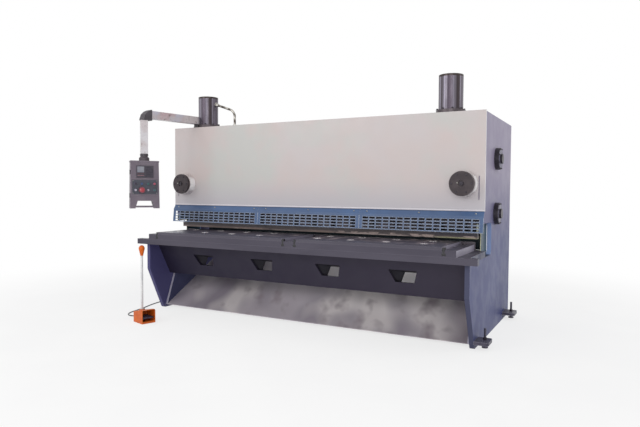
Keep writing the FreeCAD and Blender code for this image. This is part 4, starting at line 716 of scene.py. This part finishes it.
HUB_RISE, RIM_SCREW_CIRCLE = 20, 96
SIDE_CAP_LEVELS = (("low", 1105), ("high", 1620))
cap_low, cap_high = corners_of("side_guide_caps")
cap_x, cap_y = cap_high[0] - HUB_RISE, (cap_low[1] + cap_high[1]) / 2
inner_land = [(47, -1), (47, 1.5), (49, 2.6), (72, 2.6)]
groove = [(74, 1.6), (76, 1.6)]
outer_land = [(78, 2.6), (88, 2.6), (90, -1)]
ring = turned([*inner_land, *groove, *outer_land], 64, False, False)
screws = around(bolt(6.5, 7), 8, RIM_SCREW_CIRCLE, 22.5)
for side, sign in SIDES:
    outwards = facing((sign, 0, 0))
    for level, z in SIDE_CAP_LEVELS:
        for name, shape, finish in (("ring", ring, turned_face), ("screws", screws, black_steel)):
            placed = moved(shape, outwards, (sign * cap_x, cap_y, z))
            piece(f"side_cap_{name}_{side}_{level}", placed, finish, "frame")

# Main cylinders: flange screws on washers, without the one that the pendant's foot covers

FLANGE_RADIUS, FLANGE_THICK, FLANGE_SCREW_CIRCLE = 132, 34, 121
COVERED_SCREW = {"left": (5,), "right": ()}
low, high = corners_of("cylinder_right")
cylinder_x, cylinder_y = high[0] - FLANGE_RADIUS, (low[1] + high[1]) / 2
screw = joined([bolt(9, 15), turned([(12, 0), (12, 2), (9, 2)], 20, False, False)])
for side, sign in SIDES:
    screws = around(screw, 8, FLANGE_SCREW_CIRCLE, 22.5, COVERED_SCREW[side])
    screws = moved(screws, to=(sign * cylinder_x, cylinder_y, low[2] + FLANGE_THICK))
    piece(f"flange_screws_{side}", screws, black_steel, "frame")

# Pipe: a port block on the cylinder, and a union nut with its ferrule at each end

PIPE_SLOPE, PIPE_RADIUS = math.radians(19), 12.5
PIPE_MOUTH = np.array([-1283.9, 164, 2277.6])
low, high = corners_of("hydraulic_pipe")
pipe_foot = np.array([high[0] - PIPE_RADIUS, PIPE_MOUTH[1], low[2]])
down = np.array([math.cos(PIPE_SLOPE), 0, -math.sin(PIPE_SLOPE)])
ferrule = turned([(16, 0), (16, 8), (14, 10), (13, 10)], 24, False, False)
port = turned([(24, -4), (24, 5), (22, 7), (13, 7)], 28, start=False)
unions = [
    moved(port, facing((1, 0, 0)), (low[0], *PIPE_MOUTH[1:])),
    moved(nut(20, 22), facing(down), PIPE_MOUTH + 5 * down),
    moved(ferrule, facing(down), PIPE_MOUTH + 27 * down),
    moved(nut(21, 22), to=pipe_foot),
    moved(ferrule, to=pipe_foot + (0, 0, 22)),
]
piece("pipe_unions", joined(unions), zinc, "frame")

# Panel: the hem along its lower edge, an oval bead carried along X, painted near white as a painted
# highlight. Round the oval, depth goes with minus the cosine of the angle and height with its sine

HEM_HALF, HEM_STEPS, HEM_SIDES = 1749, 60, 8
HEM_Y, HEM_Z, HEM_DEPTH, HEM_HEIGHT = -1.0, 1146.5, 3.0, 6.0
path = np.linspace(-HEM_HALF, HEM_HALF, HEM_STEPS)[:, None]
angle = 2 * math.pi * np.arange(HEM_SIDES) / HEM_SIDES
bead = np.broadcast_arrays(path, HEM_Y - HEM_DEPTH * np.cos(angle), HEM_Z + HEM_HEIGHT * np.sin(angle))
# Fold of the panel's sheet, painted near white as a painted highlight: satin
hem_highlight_paint = surface("hem_painted_highlight", "#f0eef2", [(clouds(200), "#e2dfe6")], (0.3, 0.4))
piece("panel_hem", skin(np.stack(bead, axis=-1)), hem_highlight_paint, "frame")

# Guard: round-head screws through the leaning top flange

GUARD_SCREWS_X = (-1684, -1163, -640, -490, 16, 522, 658, 1169, 1680)
GUARD_SCREWS_Y, GUARD_SCREWS_Z = -14, 1117.5
flange_normal = facing((0, -45, -28))
spots = [(x, GUARD_SCREWS_Y, GUARD_SCREWS_Z) for x in GUARD_SCREWS_X]
piece("guard_screws", at_each(moved(dome(9, 5), flange_normal), spots), zinc, "frame")


# Throat covers: a stepped sheet on the inner face of each side plate, drawn in Y and Z

COVER_FRONT, COVER_STEP, COVER_REAR = -24, 126, 362
COVER_FOOT, COVER_LIP, COVER_TOP, COVER_THICK = 704, 964, 1030, 6
COVER = [
    (COVER_FRONT, COVER_LIP), (COVER_STEP, COVER_LIP), (COVER_STEP, COVER_FOOT), (COVER_REAR, COVER_FOOT),
    (COVER_REAR, COVER_TOP), (COVER_FRONT, COVER_TOP),
]  # fmt: skip


def cover(sign):
    """The cover stood on its edge: the outline's two axes become Y and Z, and its height X."""
    inner_face = corners_of("side_plate_right")[0][0]
    points, faces = slab(COVER, COVER_THICK)
    points = points[:, [2, 0, 1]] * (sign, 1, 1) + (sign * (inner_face - COVER_THICK), 0, 0)
    return points, faces if sign > 0 else [face[::-1] for face in faces]


piece("throat_cover_right", cover(1), cover_paint, "frame")
piece("throat_cover_left", cover(-1), cover_paint, "frame")

# Back gauge: an upright fence along its stop bar with screws, and a skirt in three lengths under it

FENCE_Y, FENCE_Z, FENCE_HEIGHT, FENCE_THICK = 492, 970, 84, 10
FENCE_SCREWS_X, FENCE_SCREWS_Z = (-1600, 1600, 9), (945, 990)
SKIRT_Y, SKIRT_Z, SKIRT_HEIGHT, SKIRT_THICK = 490, 722, 66, 8
SKIRTS = ((-1415, 450), (0, 2220), (1415, 450))
low, high = corners_of("back_gauge")
fence = moved(slab(rounded(high[0] - low[0], FENCE_HEIGHT, 6), FENCE_THICK), FRONT, (0, FENCE_Y, FENCE_Z))
skirts = []
for x, wide in SKIRTS:
    skirts.append(moved(slab(rounded(wide, SKIRT_HEIGHT, 4), SKIRT_THICK), FRONT, (x, SKIRT_Y, SKIRT_Z)))
spots = [(x, FENCE_Y - FENCE_THICK, z) for x in np.linspace(*FENCE_SCREWS_X) for z in FENCE_SCREWS_Z]
piece("gauge_fence", joined([fence, *skirts]), blued_steel, "frame")
piece("gauge_fence_screws", at_each(moved(bolt(8, 8), FRONT), spots), zinc, "frame")

# Table: a polished flange round each ball, and a black block in the mouth of each T-slot, a painted shadow of
# the slot

BALL_STARTS, BALL_PITCH, BALL_Y = (-1410, 278), 345, (-35, -300)
pad_top = corners_of("table_pads")[1][2]
flange = turned([(22.5, -0.5), (36, -0.5), (36, 0.8), (34, 1.6), (23.5, 1.6), (22.5, 0.8)], 32, False, False)
spots = [(start + n * BALL_PITCH, y, pad_top) for start in BALL_STARTS for n in range(4) for y in BALL_Y]
# Polished steel rings, painted near white as a painted highlight
ring_steel = surface("polished_steel_flange", "#f4eeee", [(clouds(30), "#e6dee0")], (0.2, 0.3), Metallic=0.2)
piece("ball_flanges", at_each(flange, spots), ring_steel, "frame")

SLOTS_X, SHADOW_BLOCK_Y, SHADOW_BLOCK_LONG = (-1531, 31, 157, 1542), -490, 29
SHADOW_BLOCK_HALF, NECK_HALF, SHADOW_BLOCK_FOOT, SHADOW_BLOCK_SHOULDER, SHADOW_BLOCK_TOP = 18, 10, 797, 836, 862
# Outline of the black block seen from the front: a painted shadow in the slot's mouth
stop = [
    (-SHADOW_BLOCK_HALF, SHADOW_BLOCK_FOOT), (SHADOW_BLOCK_HALF, SHADOW_BLOCK_FOOT), (SHADOW_BLOCK_HALF, SHADOW_BLOCK_SHOULDER), (NECK_HALF, SHADOW_BLOCK_SHOULDER),
    (NECK_HALF, SHADOW_BLOCK_TOP), (-NECK_HALF, SHADOW_BLOCK_TOP), (-NECK_HALF, SHADOW_BLOCK_SHOULDER), (-SHADOW_BLOCK_HALF, SHADOW_BLOCK_SHOULDER),
]  # fmt: skip
slot_shadows = at_each(moved(slab(stop, SHADOW_BLOCK_LONG), FRONT), [(x, SHADOW_BLOCK_Y, 0) for x in SLOTS_X])
piece("slot_shadow_blocks", slot_shadows, nylon, "frame")

# Panel: a felt wiper set back in each slit

SLIT_X, SLIT_Z = 1699, 1344.5
WIPER_Y, WIPER_WIDTH, WIPER_HEIGHT, WIPER_DEEP = 15, 9.6, 204, 11
# Pressed wool felt: grey violet, matt, fibrous
felt = surface("grey_violet_felt", "#8a8293", [(clouds(12), "#7b7386")], (0.8, 0.9), (2, 0.1))
wiper = moved(slab(rounded(WIPER_WIDTH, WIPER_HEIGHT, 2), WIPER_DEEP), FRONT, (0, WIPER_Y, SLIT_Z))
wipers = at_each(wiper, [(sign * SLIT_X, 0, 0) for _, sign in SIDES])
piece("slit_wipers", wipers, felt, "frame")


# Levelling screws: thread, lock nut and a chamfered end

JACK_X, JACK_REAR = 1802, 1135
JACK_FRONT = {"left": 85, "right": -147}
THREAD_RADIUS, THREAD_DEPTH, THREAD_FOOT, THREAD_LENGTH, LOCK_NUT_FOOT = 9.2, 1.2, 78, 80, 75


def jack(x, y):
    """A threaded rod, its radius stepping in and out each millimetre, with a lock nut on the foot plate."""
    rise = np.arange(THREAD_LENGTH)
    thread = np.stack([THREAD_RADIUS + THREAD_DEPTH * (rise % 2), THREAD_FOOT + rise], axis=-1).tolist()
    tip = THREAD_FOOT + THREAD_LENGTH
    rod = turned([*thread, (9, tip), (7.5, tip + 2)], 16)
    return moved(joined([rod, moved(nut(17, 13), to=(0, 0, LOCK_NUT_FOOT))]), to=(x, y, 0))


for side, sign in SIDES:
    pair = joined([jack(sign * JACK_X, y) for y in (JACK_FRONT[side], JACK_REAR)])
    piece(f"levelling_threads_{side}", pair, black_steel, "frame")


# Control box: everything is written in the box's own frame, its face looking along -Y

BOX_TURN = spun(52)
BOX_AXIS = (-1600.0, -625.1, 1117.7)
BOX_HALF_DEPTH = 60


def on_box(shape):
    """From the box's face (x across, y up from the feet, z outwards) to the machine."""
    points, faces = shape
    return moved((points[:, [0, 2, 1]] * (1, -1, 1) - (0, BOX_HALF_DEPTH, 0), faces), BOX_TURN, BOX_AXIS)


def raised_plate(width, height, corner, x, y, low, high, chamfer=1.0):
    """A plate with round corners and a chamfered rim, standing from one height to another."""
    levels = [(low, 0), (high - chamfer, 0), (high, chamfer)]
    return moved(raised(rounded(width, height, corner), levels), to=(x, y, 0))


def plastic(name, code, shade, **shader):
    """Moulded plastic of a push button: even colour, soft gloss."""
    return surface(name, code, [(clouds(12), shade)], (0.28, 0.36), (1.5, 0.01), **shader)


# Display glass over a dim liquid-crystal panel: grey blue
display = surface(
    "dim_display_glass", "#85868f", [(clouds(60), "#787a86")], (0.1, 0.16),
    Emission_Color=linear("#7d8695"), Emission_Strength=0.05,
)  # fmt: skip
blue_cap = plastic("blue_moulded_plastic", "#34507c", "#2d466e")
teal_cap = plastic("teal_moulded_plastic", "#35605f", "#2d5553")
white_cap = plastic("white_moulded_plastic", "#b7b1bb", "#a49eaa")
red_lens = plastic(
    "red_lit_lens", "#a8505f", "#954452", Emission_Color=linear("#a8505f"), Emission_Strength=0.08
)
pink_strip = plastic("pink_membrane", "#8e6a74", "#7f5d68")
red_key = plastic("red_membrane_key", "#5f3540", "#512c38")

SCREEN_Y, SURROUND_TOP = 379.5, 9
surround = joined([
    raised_plate(86, 125, 4, -42.5, SCREEN_Y, 5, SURROUND_TOP, 1.5),
    raised_plate(84, 125, 13, 42.5, SCREEN_Y, 3.5, 6.5, 1.2),
])  # fmt: skip
piece("screen_surround", on_box(surround), plate_black, "control")
glass = raised_plate(68, 60, 2, -42, SCREEN_Y + 22, SURROUND_TOP, 9.8, 0.6)
piece("display_glass", on_box(glass), display, "control")
spots = [(-70 + n * 14, SCREEN_Y - 19, 0) for n in range(5)]
small = at_each(raised_plate(10, 8, 1.5, 0, 0, SURROUND_TOP, 11), spots)
piece("display_keys", on_box(small), red_key, "control")
strip = raised_plate(66, 7, 1.5, -42, SCREEN_Y - 40, SURROUND_TOP, 10.5)
piece("display_bar", on_box(strip), pink_strip, "control")

KEY_COLUMNS, KEY_ROWS, KEY_ACROSS, KEY_UP = 5, 6, 14.8, 18
keys = [(column, row) for column in range(KEY_COLUMNS) for row in range(KEY_ROWS)]
# The last place of the top row has no key
spots = [(13 + KEY_ACROSS * column, SCREEN_Y - 46 + KEY_UP * row, 0) for column, row in keys[:-1]]
keypad = at_each(raised_plate(11.5, 12.5, 2.5, 0, 0, 6.5, 8.5), spots)
piece("keypad_keys", on_box(keypad), keypad_black, "control")

BUTTONS_X, LOWER_ROW, UPPER_ROW = (-93, -31, 31, 93), 189.5, 253.5
STOP_AT = (-31, LOWER_ROW, 0)
collar = turned([(15, 3.5), (15, 6.5), (13.5, 8), (11, 8)], 28, False, False)
spots = [(x, y, 0) for y in (LOWER_ROW, UPPER_ROW) for x in BUTTONS_X if (x, y, 0) != STOP_AT]
piece("button_collars", on_box(at_each(collar, spots)), turned_face, "control")


def cap(x, y, height=18.0):
    """A button's coloured cap: a turned disc just over the CAD button, with a rim round its hollow face."""
    profile = [(11.4, 8), (11.4, height - 1.2), (10.4, height), (8.8, height), (8.2, height - 1.2)]
    return moved(turned(profile, 24, start=False), to=(x, y, 0))


for name, finish, x, y, height in (
    ("cap_dark", black_steel, -93, UPPER_ROW, 18), ("cap_blue", blue_cap, -31, UPPER_ROW, 18),
    ("cap_teal_upper", teal_cap, 31, UPPER_ROW, 18), ("cap_lit_red", red_lens, 93, UPPER_ROW, 24),
    ("cap_white", white_cap, -93, LOWER_ROW, 18), ("cap_teal_lower", teal_cap, 93, LOWER_ROW, 18),
):  # fmt: skip
    piece(name, on_box(cap(x, y, height)), finish, "control")
lever = joined([cap(31, LOWER_ROW, 17), raised_plate(9, 21, 3, 31, LOWER_ROW, 16, 24, 2)])
piece("selector_lever", on_box(lever), white_cap, "control")
stem = [(14, 4), (14, 17)]
head = [(26, 18.5), (32.6, 22), (33, 26), (31, 31), (24, 34.6), (12, 36.4), (3, 36.8)]
mushroom = turned([*stem, *head], 48, start=False)
piece("stop_mushroom", on_box(moved(mushroom, to=STOP_AT)), stop_red, "control")
PLATE_SCREW_X, PLATE_SCREW_UP = 117, 64
rows_middle = (LOWER_ROW + UPPER_ROW) / 2
spots = [(sx * PLATE_SCREW_X, rows_middle + sy * PLATE_SCREW_UP, 4) for _, sx in SIDES for _, sy in SIDES]
piece("plate_screws", on_box(at_each(bolt(3.6, 2.4), spots)), zinc, "control")

# Box: a pressed frame round its face that follows the taper, hinges on its side and the neck's clamp

FACE_LOW, FACE_HIGH, RIM_WIDTH, RIM_THICK = 92, 474, 11, 3


def box_strip(x_low, x_high):
    """A slanted strip of the rim's width between the face's two ends, standing on the box's face."""
    foot = [(x_low, FACE_LOW), (x_low + RIM_WIDTH, FACE_LOW)]
    head = [(x_high + RIM_WIDTH, FACE_HIGH), (x_high, FACE_HIGH)]
    return slab([*foot, *head], RIM_THICK)


RIM_BARS = ((268, 303.5), (268, 462), (262, 134))
rim = [box_strip(-144, -139), box_strip(133, 128)]
rim += [raised_plate(wide, 8, 3, 0, y, 0, RIM_THICK) for wide, y in RIM_BARS]
piece("box_face_rim", on_box(joined(rim)), box_coat, "control")
hinges = at_each(turned([(6, 0), (6, 46)], 16), [(-148, -48, 110), (-145, -48, 350)])
piece("box_hinges", moved(hinges, BOX_TURN, BOX_AXIS), black_steel, "control")
CLAMP_Z = 1662
clamp = turned([(39, 0), (42, 2), (42, 15), (39, 18)], 48, False, False)
piece("neck_clamp", moved(clamp, to=(*BOX_AXIS[:2], CLAMP_Z)), joint_coat, "control")

# Foot switch: treadle ribs, the post's foot and the cable gland at its rear end

PEDAL_TURN = spun(-17)
PEDAL_AT = (-1370, -868, 0)


def on_pedal(shape):
    """From the foot switch's own frame, its open end along +X, to the machine."""
    return moved(shape, PEDAL_TURN, PEDAL_AT)


FIRST_RIB, PAST_RIBS, RIB_PITCH = -24, 84, 15
POST_FOOT_AT, GLAND_AT = (-36, 0, 122), (-100, 0, 30)
rib = raised(rounded(7, 108, 3), [(56, 0), (59, 0.8), (60.5, 2)])
ribs = at_each(rib, [(x, 0, 0) for x in range(FIRST_RIB, PAST_RIBS, RIB_PITCH)])
piece("treadle_ribs", on_pedal(ribs), treadle_rubber, "treadle")
foot = moved(turned([(26, 0), (26, 3), (22, 6), (12, 8)], 32, False, False), to=POST_FOOT_AT)
piece("post_foot", on_pedal(foot), zinc, "frame")
inlet = turned([(12, 0), (12, 5), (9, 8), (7.5, 22), (6.2, 24)], 24, False, False)
piece("switch_gland", on_pedal(moved(inlet, LEFT, GLAND_AT)), nylon, "frame")

# Table beam: a sheet lining behind each window, which narrows towards its rear end

BEAM_TOP, BEAM_LEAN, LINING_FRONT, LINING_REAR, LINING_THICK = 730, 190 / 352, -309.5, -185, 5
WINDOW_PITCH = 371
FRONT_OPENING = np.array([(131, 620), (-131, 620), (-88, 503), (88, 503)], float)
REAR_OPENING = np.array([(128, 592), (-8, 592), (-42, 500), (92, 500)], float)


def lining(x):
    """Four rings joined in a loop: the inner face from front to rear, then the outer face, 5 mm out, back.

    Each point runs straight from a corner of the window, in the beam's leaning face, to its rear corner.
    """
    out = LINING_THICK * np.array([(1, 1), (-1, 1), (-1, -1), (1, -1)])
    share, swell = np.array([0, 1, 1, 0.0])[:, None, None], np.array([0, 0, 1, 1.0])[:, None, None]
    flat = FRONT_OPENING + (REAR_OPENING - FRONT_OPENING) * share + out * swell
    across, upright = flat[..., :1], flat[..., 1:]
    depth = (LINING_FRONT + (BEAM_TOP - upright) * BEAM_LEAN) * (1 - share) + LINING_REAR * share
    return skin(np.concatenate([across + x, depth, upright], axis=-1)[::-1], loop=True)


linings = joined([lining(n * WINDOW_PITCH) for n in (-3, -1, 1, 3)])
# Near-black sheet inside each window, dull: painted shade of the deep reveal
lining_shade_paint = surface(
    "painted_shade_lining", "#15131b", [(clouds(60), "#1c1a23")], (0.5, 0.6), (5, 0.04), Specular_IOR_Level=0.2
)
piece("window_linings", linings, lining_shade_paint, "frame")

# Behind: motor fins and fan cowl, and the tank's filler cap on its screwed collar

MOTOR_RISE, FIN_START, FIN_PITCH, FINS, FILLER_X = 104, 34, 13, 17, -900
fin_profile = ((92, 0), (101, 1), (101, 5), (92, 6))
fins = [(radius, FIN_START + FIN_PITCH * n + step) for n in range(FINS) for radius, step in fin_profile]
cowl = [(92, 262), (103, 266), (103, 312), (96, 320), (30, 321)]
low, high = corners_of("pump_motor")
tank_top, tank_middle = low[2], (low[1] + high[1]) / 2
motor = moved(turned([(60, 20), (100, 22), *fins, *cowl], 48), facing((1, 0, 0)))
motor = moved(motor, to=(0, tank_middle, tank_top + MOTOR_RISE))
piece("motor_fins", motor, motor_paint, "frame")
collar = [(46, 0), (46, 8), (34, 10), (34, 40)]
screw_cap = [(40, 44), (40, 66), (34, 74), (8, 76)]
filler = [turned([*collar, *screw_cap], 40, False), moved(around(bolt(6, 6), 6, 40), to=(0, 0, 8))]
filler = moved(joined(filler), to=(FILLER_X, tank_middle, tank_top))
piece("tank_filler", filler, black_steel, "frame")


# Floor, world and lamps, in metres and watts

FLOOR_HALF = 22.0
SHADOW_REACH, WHITE_FROM = 2.6, 6.0


def looked_at(tree):
    """Share: rays from the camera, in reflections or through glass."""
    ray = add(tree, "LightPath").outputs
    direct = add(tree, "Math", {0: ray["Is Camera Ray"], 1: ray["Is Glossy Ray"]}, operation="ADD")
    return add(tree, "Math", {0: direct, 1: ray["Is Transmission Ray"]}, operation="ADD", use_clamp=True)


def ground(name, code, lit):
    """Matt studio ground: it shows the object's shadow near it, and fades to plain white further out.

    lit is how much of it is plain white to the camera and in reflections near the object.
    """
    material = bpy.data.materials.new(name)
    material.use_nodes = True
    tree = material.node_tree
    tree.nodes.clear()
    place = add(tree, "TexCoord").outputs["Object"]
    far = add(tree, "VectorMath", {0: place}, operation="LENGTH").outputs["Value"]
    span = {"From Min": SHADOW_REACH, "From Max": WHITE_FROM, "To Min": lit}
    fade = add(tree, "MapRange", {"Value": far, **span}, interpolation_type="SMOOTHSTEP")
    share = add(tree, "Math", {0: looked_at(tree), 1: fade}, operation="MULTIPLY")
    tone = add(tree, "Mix", {"Factor": clouds(700)(tree, place), "A": code, "B": "#e9e9ea"}, data_type="RGBA")
    matt = add(tree, "BsdfDiffuse", {"Color": tone})
    plain = add(tree, "Emission", {"Color": (1, 1, 1, 1), "Strength": 1.0})
    add(tree, "OutputMaterial", {"Surface": add(tree, "MixShader", {0: share, 1: matt, 2: plain})})
    return material


def floor():
    """A square sheet of floor, over ten times the machine's length."""
    mesh = bpy.data.meshes.new("floor")
    corners = [(-FLOOR_HALF, -FLOOR_HALF, 0), (FLOOR_HALF, -FLOOR_HALF, 0), (FLOOR_HALF, FLOOR_HALF, 0)]
    mesh.from_pydata([*corners, (-FLOOR_HALF, FLOOR_HALF, 0)], [], [(0, 1, 2, 3)])
    mesh.materials.append(ground("studio_floor", "#eeeeee", 0.72))
    item = bpy.data.objects.new("floor", mesh)
    bpy.context.scene.collection.objects.link(item)
    item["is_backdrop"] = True


def lamp(name, at, aim, size, power):
    """A square soft box, aimed at a point; places in metres."""
    data = bpy.data.lights.new(name, "AREA")
    data.shape, data.size, data.energy = "SQUARE", size, power
    item = bpy.data.objects.new(name, data)
    item.location = at
    item.rotation_euler = (Vector(aim) - Vector(at)).to_track_quat("-Z", "Y").to_euler()
    bpy.context.scene.collection.objects.link(item)


def world(strength):
    """Plain soft light of a strength; plain white to the camera and in reflections."""
    sky = bpy.data.worlds.new("World")
    bpy.context.scene.world = sky
    sky.use_nodes = True
    tree = sky.node_tree
    tree.nodes.clear()
    level = add(tree, "MapRange", {"Value": looked_at(tree), "To Min": strength})
    glow = add(tree, "Background", {"Color": (1, 1, 1, 1), "Strength": level})
    add(tree, "OutputWorld", {"Surface": glow})


floor()
world(0.7)
lamp("front_left", (-3.5, -7.5, 4.5), (0, 0, 0.9), 4.0, 150)
lamp("front_right", (3.4, -7.6, 2.6), (0, -0.3, 0.9), 4.0, 132)
lamp("right_side", (6.0, 1.5, 4.2), (1.75, 0.3, 1.9), 2.5, 26)
bpy.context.scene.view_settings.view_transform = "Standard"

low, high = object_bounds()
